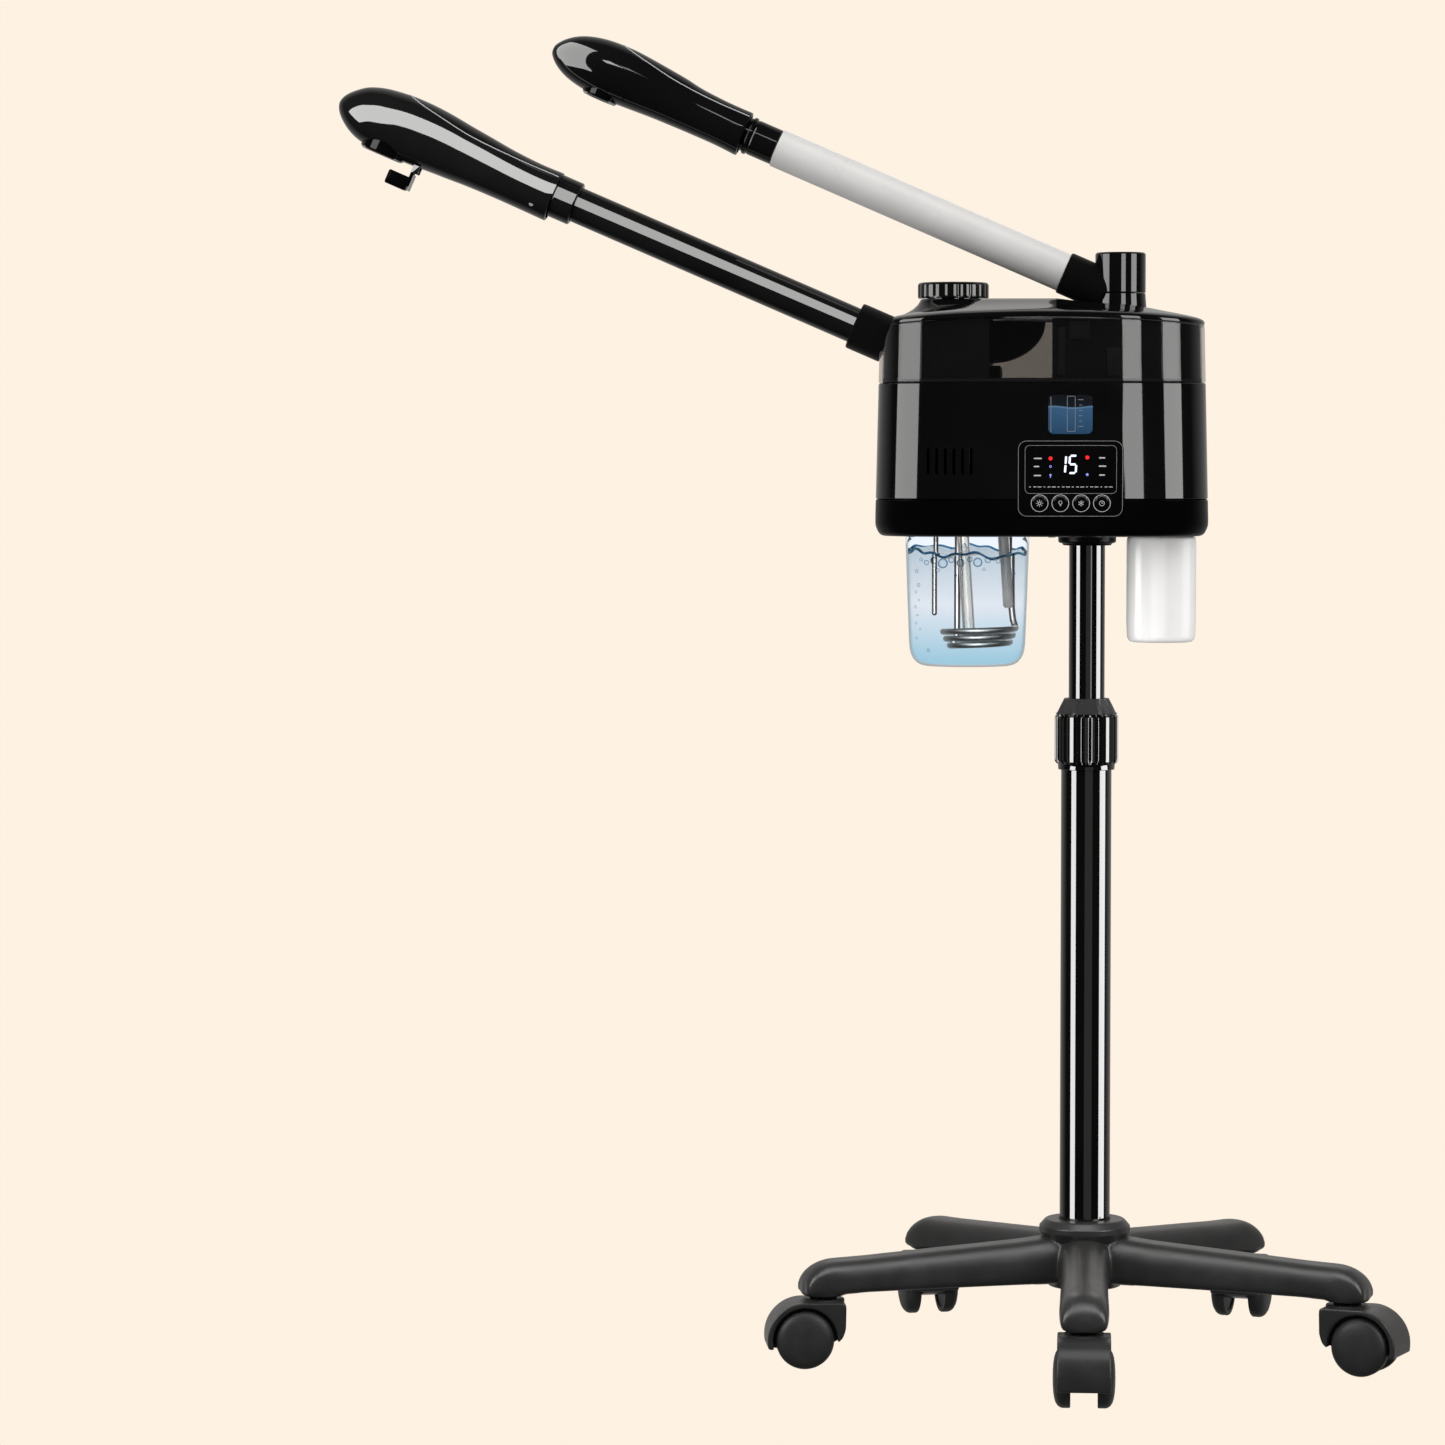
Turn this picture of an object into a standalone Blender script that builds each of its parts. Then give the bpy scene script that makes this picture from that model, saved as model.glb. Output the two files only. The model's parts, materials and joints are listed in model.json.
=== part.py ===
"""A two-arm facial steamer on a five-caster stand: hot arm on the left, cold arm on the deck.

Metres, +Z up, the panel faces -Y. Everything is laid out from the column's axis, then the
whole object is moved so that its box stands centred on the origin.
"""

import math

import bmesh
import bpy
from mathutils import Matrix, Vector

GAP = 0.0003

# From the column's axis to the origin of the frame.
SHIFT_X = 0.18612
SHIFT_Y = 0.02046

# Base and column.
HUB_BOTTOM = 0.0570
HUB_TOP = 0.1185
POLE_SEAT = 0.0620
ARM_ANGLES = (270.0, 342.0, 54.0, 126.0, 198.0)
ARM_NAMES = ("front", "right", "back_right", "back_left", "left")
ARM_TIP = 0.2545
ARM_HALF_WIDTH = 0.0205
STEM_RADIUS_OUT = 0.2355
STEM_R = 0.0055
LOWER_POLE_R = 0.0218
LOWER_POLE_BORE = 0.0197
LOWER_POLE_TOP = 0.5475
UPPER_POLE_R = 0.0155
UPPER_POLE_BOTTOM = 0.2600
UPPER_POLE_TOP = 0.7095
FLANGE_R = 0.0250
FLANGE_BOTTOM = 0.7045

# Casters.
AXLE_Z = 0.0250
WHEEL_R = 0.0250
WHEEL_INNER = 0.0112
WHEEL_OUTER = 0.0258
TRAIL = 0.0170
HOOD_R = 0.0325
HOOD_HALF_WIDTH = 0.0222
NECK_R = 0.0183
NECK_TOP = 0.0588
TRAIL_ANGLES = (270.0, 338.0, 75.0, 105.0, 188.0)

# Cabinet, as heights and half sizes of its plan.
BODY_X = -0.0392
BODY_HALF_X = 0.1427
BODY_HALF_Y = 0.1025
CORNER_X = 0.0720
CORNER_Y = 0.0600
TRAY_BOTTOM = 0.7130
LOWER_SEAM = 0.7448
UPPER_SEAM = 0.8440
DECK_SEAM = 0.8925
DECK_TOP = 0.9085
CROWN = 0.0065
CROWN_SPANS = 4
POCKET_X = -0.0258
POCKET_HALF_X = 0.1238
WALL = 0.0030
FRONT_Y = -BODY_HALF_Y

# Jar and cup.
JAR_X = -0.1035
JAR_R = 0.0535
JAR_BOTTOM = 0.6000
JAR_NECK_R = 0.0500
CUP_X = 0.0640
CUP_R = 0.0300
CUP_BOTTOM = 0.6210
CUP_NECK_R = 0.0260

# Panel.
PANEL_X = -0.0143
PANEL_Z = 0.7625
PANEL_W = 0.0890
PANEL_H = 0.0646
BUTTON_XS = (-0.0402, -0.0227, -0.0052, 0.0123)
BUTTON_Z = 0.7417
BUTTON_R = 0.0062
WINDOW_X = -0.0144
WINDOW_Z = 0.8165
WINDOW_W = 0.0375
WINDOW_H = 0.0330

# Hot arm: its frame starts on the cabinet's cut corner and runs up to the left.
HOT_X = -0.17215
HOT_Z = 0.88170
HOT_RISE = 23.5
HOT_TUBE_R = 0.0155
HOT_COLLAR_AT = 0.2955
HOT_HEAD_AT = 0.3155
HOT_NOZZLE_AT = 0.4690
HOT_STATIONS = (
    (0.3155, -0.0239, 0.0204, 0.0215),
    (0.3365, -0.0235, 0.0200, 0.0217),
    (0.3626, -0.0232, 0.0214, 0.0222),
    (0.3887, -0.0235, 0.0243, 0.0232),
    (0.4061, -0.0243, 0.0262, 0.0242),
    (0.4235, -0.0250, 0.0284, 0.0254),
    (0.4409, -0.0260, 0.0298, 0.0266),
    (0.4583, -0.0264, 0.0300, 0.0275),
    (0.4714, -0.0262, 0.0291, 0.0275),
    (0.4844, -0.0252, 0.0273, 0.0262),
    (0.4940, -0.0236, 0.0248, 0.0243),
    (0.5030, -0.0200, 0.0210, 0.0212),
    (0.5110, -0.0148, 0.0150, 0.0165),
    (0.5170, -0.0090, 0.0088, 0.0105),
    (0.5200, -0.0035, 0.0032, 0.0045),
)
HOT_PARTING = ((0.3000, 0.0156), (0.3200, 0.0156), (0.3540, 0.0155), (0.4000, 0.0173), (0.4320, 0.0222),
               (0.4560, 0.0268), (0.4766, 0.0330))

# Cold arm: its frame starts where the arm's axis meets the post's.
COLD_X = 0.0278
COLD_Z = 0.9183
COLD_RISE = 23.6
COLD_POST_R = 0.02175
COLD_BOSS_R = 0.0226
COLD_POST_SEAM = 0.9218
COLD_POST_TOP = 0.9505
COLD_SLEEVE_R = 0.0185
COLD_TUBE_R = 0.0168
COLD_SLEEVE_END = 0.0532
COLD_COLLAR_AT = 0.3235
COLD_HEAD_AT = 0.3540
COLD_NOZZLE_AT = 0.4825
COLD_STATIONS = (
    (0.3540, -0.0204, 0.0191, 0.0196),
    (0.3751, -0.0192, 0.0191, 0.0196),
    (0.4012, -0.0191, 0.0206, 0.0202),
    (0.4186, -0.0193, 0.0233, 0.0212),
    (0.4360, -0.0197, 0.0253, 0.0224),
    (0.4534, -0.0206, 0.0271, 0.0236),
    (0.4708, -0.0214, 0.0283, 0.0246),
    (0.4882, -0.0214, 0.0279, 0.0249),
    (0.4990, -0.0204, 0.0266, 0.0240),
    (0.5085, -0.0188, 0.0244, 0.0224),
    (0.5170, -0.0164, 0.0213, 0.0198),
    (0.5245, -0.0130, 0.0170, 0.0160),
    (0.5310, -0.0084, 0.0114, 0.0110),
    (0.5355, -0.0030, 0.0052, 0.0050),
)
COLD_PARTING = ((0.3403, 0.0147), (0.3561, 0.0147), (0.3907, 0.0148), (0.4253, 0.0173), (0.4500, 0.0215),
                (0.4720, 0.0258), (0.4900, 0.0310))

COLOURS = {
    "black_gloss": ((0.012, 0.012, 0.013, 1.0), 0.08, 0.0),
    "black_satin": ((0.016, 0.016, 0.017, 1.0), 0.42, 0.0),
    "steel": ((0.62, 0.62, 0.63, 1.0), 0.25, 1.0),
    "white": ((0.86, 0.87, 0.88, 1.0), 0.28, 0.0),
    "milky": ((0.84, 0.89, 0.92, 1.0), 0.35, 0.0),
    "glass": ((0.72, 0.84, 0.88, 1.0), 0.05, 0.0),
    "smoke": ((0.05, 0.05, 0.055, 1.0), 0.10, 0.0),
    "rubber": ((0.05, 0.05, 0.05, 1.0), 0.70, 0.0),
    "grey": ((0.22, 0.23, 0.24, 1.0), 0.45, 0.0),
    "board": ((0.02, 0.16, 0.07, 1.0), 0.50, 0.0),
    "water_blue": ((0.10, 0.35, 0.85, 1.0), 0.15, 0.0),
}


def clear_scene():
    for old in list(bpy.data.objects):
        bpy.data.objects.remove(old)


clear_scene()
STEAMER = bpy.data.collections.new("facial_steamer")
bpy.context.scene.collection.children.link(STEAMER)
CUTTERS = bpy.data.collections.new("cutters")
bpy.context.scene.collection.children.link(CUTTERS)
CUTTERS.hide_render = True


def finish_for(name, kind):
    colour, rough, metal = COLOURS[kind]
    made = bpy.data.materials.new(f"{name}_finish")
    made.use_nodes = True
    shader = made.node_tree.nodes["Principled BSDF"]
    shader.inputs["Base Color"].default_value = colour
    shader.inputs["Roughness"].default_value = rough
    shader.inputs["Metallic"].default_value = metal
    return made


def place(name, mesh, kind, frame=None):
    """A named piece of the object, standing where its frame puts it."""
    obj = bpy.data.objects.new(name, mesh)
    obj.matrix_world = frame if frame is not None else Matrix.Identity(4)
    mesh.materials.clear()
    mesh.materials.append(finish_for(name, kind))
    STEAMER.objects.link(obj)
    return obj


def place_cutter(name, mesh, frame=None):
    obj = bpy.data.objects.new(f"cut_{name}", mesh)
    obj.matrix_world = frame if frame is not None else Matrix.Identity(4)
    obj.hide_render = True
    obj.display_type = "WIRE"
    CUTTERS.objects.link(obj)
    return obj


def combine(target, other, operation="DIFFERENCE"):
    modifier = target.modifiers.new(f"{operation.lower()}_{other.name}", "BOOLEAN")
    modifier.operation = operation
    modifier.solver = "EXACT"
    modifier.object = other
    return modifier


def mesh_of(name, points, faces):
    mesh = bpy.data.meshes.new(name)
    mesh.from_pydata(points, [], faces)
    shape = bmesh.new()
    shape.from_mesh(mesh)
    bmesh.ops.recalc_face_normals(shape, faces=shape.faces)
    shape.to_mesh(mesh)
    shape.free()
    return mesh


def lofted(name, rings, closed=False):
    """Rings of equal count joined in order, capped at both ends, or joined back to the first."""
    count = len(rings[0])
    points = [point for ring in rings for point in ring]
    faces = []
    last = len(rings) if closed else len(rings) - 1
    for level in range(last):
        low = level * count
        high = ((level + 1) % len(rings)) * count
        for i in range(count):
            j = (i + 1) % count
            faces.append((low + i, low + j, high + j, high + i))
    if not closed:
        faces.append(tuple(reversed(range(count))))
        top = (len(rings) - 1) * count
        faces.append(tuple(top + i for i in range(count)))
    return mesh_of(name, points, faces)


def box_mesh(name, x0, x1, y0, y1, z0, z1):
    rings = [[(x0, y0, z), (x1, y0, z), (x1, y1, z), (x0, y1, z)] for z in (z0, z1)]
    return lofted(name, rings)


def turned(name, profile, steps=24, closed=False):
    """A profile of (radius, height) turned about Z; an open one starts and ends on the axis."""
    if closed:
        rings = profile
        points = []
        for radius, height in rings:
            points.append([(radius * math.cos(math.tau * i / steps), radius * math.sin(math.tau * i / steps), height)
                           for i in range(steps)])
        return lofted(name, points, closed=True)
    inner = profile[1:-1]
    points = [(0.0, 0.0, profile[0][1])]
    for radius, height in inner:
        for i in range(steps):
            angle = math.tau * i / steps
            points.append((radius * math.cos(angle), radius * math.sin(angle), height))
    points.append((0.0, 0.0, profile[-1][1]))
    end = len(points) - 1
    faces = []
    for i in range(steps):
        j = (i + 1) % steps
        faces.append((0, 1 + i, 1 + j))
        for level in range(len(inner) - 1):
            a = 1 + level * steps
            b = a + steps
            faces.append((a + i, b + i, b + j, a + j))
        a = 1 + (len(inner) - 1) * steps
        faces.append((a + i, end, a + j))
    return mesh_of(name, points, faces)


def rod(name, radius, z0, z1, steps=20):
    return turned(name, [(0, z1), (radius, z1), (radius, z0), (0, z0)], steps)


def pipe(name, outer, inner, z0, z1, steps=20):
    profile = [(outer, z0), (outer, z1), (inner, z1), (inner, z0)]
    return turned(name, profile, steps, closed=True)


def moved(x, y, z):
    return Matrix.Translation(Vector((x, y, z)))


def along_y(x, y, z):
    """Local Z looks to the back of the object."""
    return moved(x, y, z) @ Matrix.Rotation(math.radians(-90), 4, "X")


def arm_frame(x, z, rise):
    """Local Z runs along an arm, up and to the left, and local X is its upper side."""
    e = math.radians(rise)
    frame = Matrix(((math.sin(e), 0, -math.cos(e), x), (0, 1, 0, 0), (math.cos(e), 0, math.sin(e), z), (0, 0, 0, 1)))
    return frame


def fixed_mesh(name, obj):
    """The shape of an object with its modifiers applied, as a new mesh in its own frame."""
    bpy.context.view_layer.update()
    graph = bpy.context.evaluated_depsgraph_get()
    made = bpy.data.meshes.new_from_object(obj.evaluated_get(graph))
    made.name = name
    return made


def plan(inset, height, centre=None, half_x=None, spans=1):
    """The cabinet's outline at a height, drawn in by inset; it narrows a little towards the top."""
    taper = 0.0045 * (height - TRAY_BOTTOM) / (DECK_TOP - TRAY_BOTTOM)
    cx = BODY_X if centre is None else centre
    hx = (BODY_HALF_X - taper if half_x is None else half_x) - inset
    hy = BODY_HALF_Y - inset
    rx = max(CORNER_X - inset, 0.012)
    ry = max(CORNER_Y - inset, 0.012)
    points = []
    for quarter in range(4):
        sx = (1, -1, -1, 1)[quarter]
        sy = (1, 1, -1, -1)[quarter]
        for step in range(6):
            angle = math.radians(90 * quarter + 90 * step / 5)
            points.append((cx + sx * (hx - rx) + rx * math.cos(angle), sy * (hy - ry) + ry * math.sin(angle), height))
        if quarter in (0, 2):
            points += [(cx + sx * (hx - rx) * (1 - 2 * step / spans), sy * hy, height) for step in range(1, spans)]
    return points


def crowned(inset, height, centre=None, half_x=None):
    """The outline lifted in an arc that is highest in the middle of the cabinet's width."""
    ring = plan(inset, height, centre, half_x, CROWN_SPANS)
    return [(x, y, z + CROWN * (1 - ((x - BODY_X) / BODY_HALF_X) ** 2)) for x, y, z in ring]


def pocket(inset, height):
    """The crowned outline of the tank's inside, which leaves a thick wall behind the cut corner."""
    return crowned(inset + WALL, height, POCKET_X, POCKET_HALF_X)


def rounded_plate(name, width, height, radius, y0, y1, steps=4):
    """A plate in the XZ plane with round corners, centred on its own origin, from y0 to y1."""
    outline = []
    for quarter in range(4):
        sx = (1, -1, -1, 1)[quarter]
        sz = (1, 1, -1, -1)[quarter]
        for step in range(steps + 1):
            angle = math.radians(90 * quarter + 90 * step / steps)
            outline.append((sx * (width / 2 - radius) + radius * math.cos(angle),
                            sz * (height / 2 - radius) + radius * math.sin(angle)))
    return lofted(name, [[(x, y, z) for x, z in outline] for y in (y0, y1)])


def head_ring(station, inset, count=14):
    at, low, high, half = station
    centre = (low + high) / 2
    tall = (high - low) / 2 - inset
    wide = half - inset
    ring = []
    for i in range(count):
        angle = math.tau * i / count
        ring.append((centre + tall * math.cos(angle), wide * math.sin(angle), at))
    return ring


def joined(name, parts):
    """Several meshes, each with its own frame, as one mesh."""
    points = []
    faces = []
    for mesh, frame in parts:
        first = len(points)
        points += [tuple(frame @ vertex.co) for vertex in mesh.vertices]
        faces += [tuple(first + i for i in face.vertices) for face in mesh.polygons]
    return mesh_of(name, points, faces)


def arm_mesh(name):
    rings = []
    for x, half, low, high in (
            (0.0240, 0.0195, 0.0640, 0.1056), (0.1000, 0.0205, 0.0636, 0.1005), (0.2150, ARM_HALF_WIDTH, 0.0633, 0.0920),
            (0.2400, 0.0185, 0.0635, 0.0896), (0.2500, 0.0130, 0.0650, 0.0850), (ARM_TIP, 0.0070, 0.0680, 0.0800)):
        top = high - low
        rings.append([(x, -half, low), (x, half, low), (x, half, low + top * 0.66), (x, half * 0.82, low + top * 0.90),
                      (x, half * 0.42, high), (x, -half * 0.42, high), (x, -half * 0.82, low + top * 0.90),
                      (x, -half, low + top * 0.66)])
    return lofted(name, rings)


def arm_hollow(name):
    rings = []
    for x, half, high in ((0.0450, 0.0165, 0.0990), (0.2130, 0.0165, 0.0880)):
        rings.append([(x, -half, 0.0500), (x, half, 0.0500), (x, half, high - 0.006), (x, half * 0.5, high),
                      (x, -half * 0.5, high), (x, -half, high - 0.006)])
    return lofted(name, rings)


def base_and_column():
    hub = turned("star_base", [
        (LOWER_POLE_R + GAP, HUB_TOP), (0.0315, HUB_TOP), (0.0330, 0.1130), (0.0390, 0.1105), (0.0400, 0.1070),
        (0.0350, 0.0960), (0.0320, 0.0880), (0.0320, HUB_BOTTOM), (0.0053, HUB_BOTTOM), (0.0053, POLE_SEAT),
        (LOWER_POLE_R + GAP, POLE_SEAT)], 20, closed=True)
    base = place("star_base", hub, "black_satin")
    cuts = []
    for angle, name in zip(ARM_ANGLES, ARM_NAMES):
        turn = Matrix.Rotation(math.radians(angle), 4, "Z")
        combine(base, place_cutter(f"arm_{name}", arm_mesh(f"arm_{name}"), turn), "UNION")
        boss = turned(f"boss_{name}", [
            (0, 0.0700), (0.0180, 0.0700), (0.0190, 0.0625), (0.0180, 0.0608), (0, 0.0608)], 14)
        combine(base, place_cutter(f"boss_{name}", boss, turn @ moved(STEM_RADIUS_OUT, 0, 0)), "UNION")
        cuts.append((arm_hollow(f"hollow_{name}"), turn))
        socket = rod(f"socket_{name}", STEM_R + GAP, 0.0500, 0.0800, 14)
        cuts.append((socket, turn @ moved(STEM_RADIUS_OUT, 0, 0)))
    combine(base, place_cutter("base_hollows", joined("base_hollows", cuts)))

    bolt = turned("pole_bolt", [
        (0, 0.0720), (0.0045, 0.0720), (0.0050, 0.0710), (0.0050, HUB_BOTTOM - GAP), (0.0130, HUB_BOTTOM - GAP),
        (0.0130, 0.0550), (0.0085, 0.0548), (0.0085, 0.0500), (0, 0.0500)], 6)
    place("pole_bolt", bolt, "steel")
    lower = pipe("lower_pole", LOWER_POLE_R, LOWER_POLE_BORE, POLE_SEAT + GAP, LOWER_POLE_TOP, 20)
    place("lower_pole", lower, "black_gloss")
    bush = turned("collar_bush", [
        (0.0194, 0.4400), (0.0194, LOWER_POLE_TOP + GAP), (0.0208, LOWER_POLE_TOP + GAP), (0.0203, 0.5545),
        (UPPER_POLE_R + GAP, 0.5545), (UPPER_POLE_R + GAP, 0.4400)], 20, closed=True)
    place("collar_bush", bush, "grey")
    collar = turned("clamp_collar", [
        (0.0225, 0.5106), (0.0243, 0.5106), (0.0246, 0.5155), (0.0275, 0.5162), (0.0275, 0.5580), (0.0268, 0.5592),
        (0.0200, 0.5718), (0.0196, 0.5723), (UPPER_POLE_R + 0.0005, 0.5723), (UPPER_POLE_R + 0.0005, 0.5552),
        (0.0225, 0.5552)], 20, closed=True)
    place("clamp_collar", collar, "black_gloss")
    place("upper_pole", pipe("upper_pole", UPPER_POLE_R, 0.0135, UPPER_POLE_BOTTOM, UPPER_POLE_TOP, 20), "black_gloss")
    flange = turned("mount_flange", [
        (UPPER_POLE_R + GAP, FLANGE_BOTTOM), (0.0235, FLANGE_BOTTOM), (FLANGE_R, FLANGE_BOTTOM + 0.0015),
        (FLANGE_R, TRAY_BOTTOM - GAP), (0.0060, TRAY_BOTTOM - GAP), (0.0060, UPPER_POLE_TOP + GAP),
        (UPPER_POLE_R + GAP, UPPER_POLE_TOP + GAP)], 20, closed=True)
    place("mount_flange", flange, "black_satin")


def caster_meshes():
    """The hood with its stem and axle, and a wheel, both drawn about the stem with the trail to -X."""
    outline = []
    for step in range(10):
        angle = math.radians(193 - 111 * step / 9)
        outline.append((-TRAIL + HOOD_R * math.cos(angle), AXLE_Z + HOOD_R * math.sin(angle)))
    outline += [(0.0160, 0.0568), (0.0180, 0.0548), (0.0178, 0.0340), (0.0160, 0.0275), (0.0125, 0.0232),
                (0.0085, 0.0213), (-0.0100, 0.0168), (-0.0300, 0.0165)]
    rings = [[(x, y, z) for x, z in outline] for y in (-HOOD_HALF_WIDTH, HOOD_HALF_WIDTH)]
    hood = place_cutter("hood_blank", lofted("hood_blank", rings))
    sideways = Matrix.Translation(Vector((-TRAIL, 0, AXLE_Z))) @ Matrix.Rotation(math.radians(90), 4, "X")
    for sign, tag in ((1, "a"), (-1, "b")):
        z0, z1 = sorted((sign * (WHEEL_INNER - 0.0006), sign * 0.0300))
        pocket = place_cutter(f"wheel_pocket_{tag}", rod(f"wheel_pocket_{tag}", 0.0282, z0, z1, 18), sideways)
        combine(hood, pocket)
    neck = place_cutter("hood_neck", turned("hood_neck", [
        (0, 0.0780), (STEM_R, 0.0775), (STEM_R, 0.0602), (0.0112, 0.0602), (0.0112, NECK_TOP), (NECK_R - 0.0008, NECK_TOP),
        (NECK_R, NECK_TOP - 0.0008), (NECK_R, 0.0545), (0, 0.0545)], 14))
    combine(hood, neck, "UNION")
    axle = place_cutter("axle", rod("axle", 0.0028, -0.0236, 0.0236, 10), sideways)
    combine(hood, axle, "UNION")
    hood_mesh = fixed_mesh("caster_hood", hood)
    for used in [hood, neck, axle] + [o for o in CUTTERS.objects if o.name.startswith("cut_wheel_pocket")]:
        bpy.data.objects.remove(used)
    wheel = turned("caster_wheel", [
        (0, WHEEL_OUTER), (0.0165, 0.0248), (0.0228, 0.0222), (WHEEL_R, 0.0178), (WHEEL_R, WHEEL_INNER),
        (0.0033, WHEEL_INNER), (0.0033, 0.0242), (0, 0.0242)], 20)
    return hood_mesh, wheel


def casters():
    hood_mesh, wheel_mesh = caster_meshes()
    for angle, name, trail in zip(ARM_ANGLES, ARM_NAMES, TRAIL_ANGLES):
        x = STEM_RADIUS_OUT * math.cos(math.radians(angle))
        y = STEM_RADIUS_OUT * math.sin(math.radians(angle))
        frame = moved(x, y, 0) @ Matrix.Rotation(math.radians(trail - 180), 4, "Z")
        place(f"caster_{name}", hood_mesh.copy(), "black_satin", frame)
        for tag, turn in (("a", -90), ("b", 90)):
            spin = moved(-TRAIL, 0, AXLE_Z) @ Matrix.Rotation(math.radians(turn), 4, "X")
            place(f"wheel_{name}_{tag}", wheel_mesh.copy(), "rubber", frame @ spin)


def corner_cut():
    """The block beyond the plane that the hot arm's sleeve turns against."""
    frame = arm_frame(HOT_X, HOT_Z, HOT_RISE)
    return place_cutter("hot_corner", box_mesh("hot_corner", -0.08, 0.08, -0.15, 0.15, 0, 0.1), frame)


def cabinet_shells():
    top = LOWER_SEAM - GAP
    rings = [plan(0.0100, TRAY_BOTTOM), plan(0.0035, TRAY_BOTTOM + 0.0022), plan(0.0, TRAY_BOTTOM + 0.0070),
             plan(0.0, top), plan(WALL, top), plan(WALL, TRAY_BOTTOM + 0.0080), plan(0.0065, TRAY_BOTTOM + 0.0030)]
    tray = place("bottom_tray", lofted("bottom_tray", rings), "black_satin")
    jar_hole = place_cutter("jar_hole", rod("jar_hole", JAR_NECK_R + 0.0010, 0.70, 0.73, 24), moved(JAR_X, 0, 0))
    cup_hole = place_cutter("cup_hole", rod("cup_hole", CUP_NECK_R + 0.0010, 0.70, 0.73, 20), moved(CUP_X, 0, 0))
    for cutter in (jar_hole, cup_hole):
        combine(tray, cutter)

    low, high = LOWER_SEAM, UPPER_SEAM - GAP
    rings = [plan(0, low), plan(0, high), plan(WALL, high), plan(WALL, low)]
    housing = place("main_housing", lofted("main_housing", rings, closed=True), "black_gloss")
    panel = place_cutter("panel_seat", rounded_plate(
        "panel_seat", PANEL_W + 0.0006, PANEL_H + 0.0006, 0.0080, -0.010, 0.0019), moved(PANEL_X, FRONT_Y, PANEL_Z))
    window = place_cutter("window_seat", rounded_plate(
        "window_seat", WINDOW_W + 0.0006, WINDOW_H + 0.0006, 0.0050, -0.010, 0.0019),
        moved(WINDOW_X, FRONT_Y, WINDOW_Z))
    combine(housing, panel)
    combine(tray, panel)
    combine(housing, window)
    for number, x in enumerate(BUTTON_XS):
        hole = place_cutter(f"key_hole_{number}", rod(f"key_hole_{number}", BUTTON_R + 0.0006, -0.02, 0.02, 16),
                            along_y(x, FRONT_Y, BUTTON_Z))
        combine(housing, hole)
        combine(tray, hole)
    for number in range(6):
        x = -0.1357 + 0.0073 * number
        slot = place_cutter(f"vent_{number}", box_mesh(
            f"vent_{number}", x, x + 0.0024, -0.12, -0.05, 0.7660, 0.7880))
        combine(housing, slot)
    inlet = place_cutter("inlet_seat", box_mesh("inlet_seat", -0.0153, 0.0153, 0.09, 0.12, 0.7747, 0.8003),
                         moved(-0.0792, 0, 0))
    combine(housing, inlet)

    cut = corner_cut()
    spigot = place_cutter("spigot_hole", rod("spigot_hole", 0.0115, -0.0130, 0.02, 24),
                          arm_frame(HOT_X, HOT_Z, HOT_RISE))
    floor = plan(WALL, UPPER_SEAM + WALL, POCKET_X, POCKET_HALF_X, CROWN_SPANS)
    rings = [plan(0.0, UPPER_SEAM, spans=CROWN_SPANS), crowned(0.0, DECK_SEAM - GAP), pocket(0.0, DECK_SEAM - GAP),
             floor]
    tank = place("water_tank", lofted("water_tank", rings), "smoke")
    combine(tank, cut)
    combine(tank, spigot)

    under = plan(0.0500, 0.9020, POCKET_X, POCKET_HALF_X, CROWN_SPANS)
    top = plan(0.0840, DECK_TOP + CROWN, spans=CROWN_SPANS)
    rings = [under, pocket(0.0040, DECK_SEAM + 0.0025), pocket(0.0, DECK_SEAM), crowned(0.0, DECK_SEAM),
             crowned(0.0, 0.8950), crowned(0.0012, 0.8970), crowned(0.0060, 0.8985), crowned(0.0200, 0.9005),
             crowned(0.0450, 0.9030), crowned(0.0700, 0.9060), top]
    deck = place("top_deck", lofted("top_deck", rings), "black_gloss")
    combine(deck, cut)
    combine(deck, place_cutter("post_dish", turned("post_dish", [
        (0, 0.9300), (0.0620, 0.9300), (0.0620, 0.9162), (0.0225, 0.9055), (0, 0.9055)], 20), moved(COLD_X, 0, 0)))
    neck = place_cutter("filler_neck", turned("filler_neck", [
        (0, 0.9164), (0.0285, 0.9164), (0.0292, 0.9130), (0.0335, 0.9070), (0.0395, 0.9020), (0.0395, 0.8985),
        (0, 0.8985)], 20), moved(-0.1160, -0.0050, 0))
    combine(deck, neck, "UNION")
    combine(deck, place_cutter("filler_bore", rod("filler_bore", 0.0230, 0.88, 0.95, 24),
                               moved(-0.1160, -0.0050, 0)))
    boss = place_cutter("post_boss", turned("post_boss", [
        (0, COLD_POST_SEAM - GAP), (COLD_POST_R, COLD_POST_SEAM - GAP), (COLD_BOSS_R, 0.9060), (COLD_BOSS_R, 0.9020),
        (0, 0.9020)], 20), moved(COLD_X, 0, 0))
    combine(deck, boss, "UNION")
    combine(deck, place_cutter("post_bore", rod("post_bore", 0.0120, 0.88, 0.95, 24), moved(COLD_X, 0, 0)))

    cap = turned("tank_cap", [
        (0, 0.9310), (0.0285, 0.9310), (0.0308, 0.9295), (0.0308, 0.9185), (0.0300, 0.9170), (0.0224, 0.9170),
        (0.0220, 0.9080), (0, 0.9080)], 20)
    place("tank_cap", cap, "black_satin", moved(-0.1160, -0.0050, 0))


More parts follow.
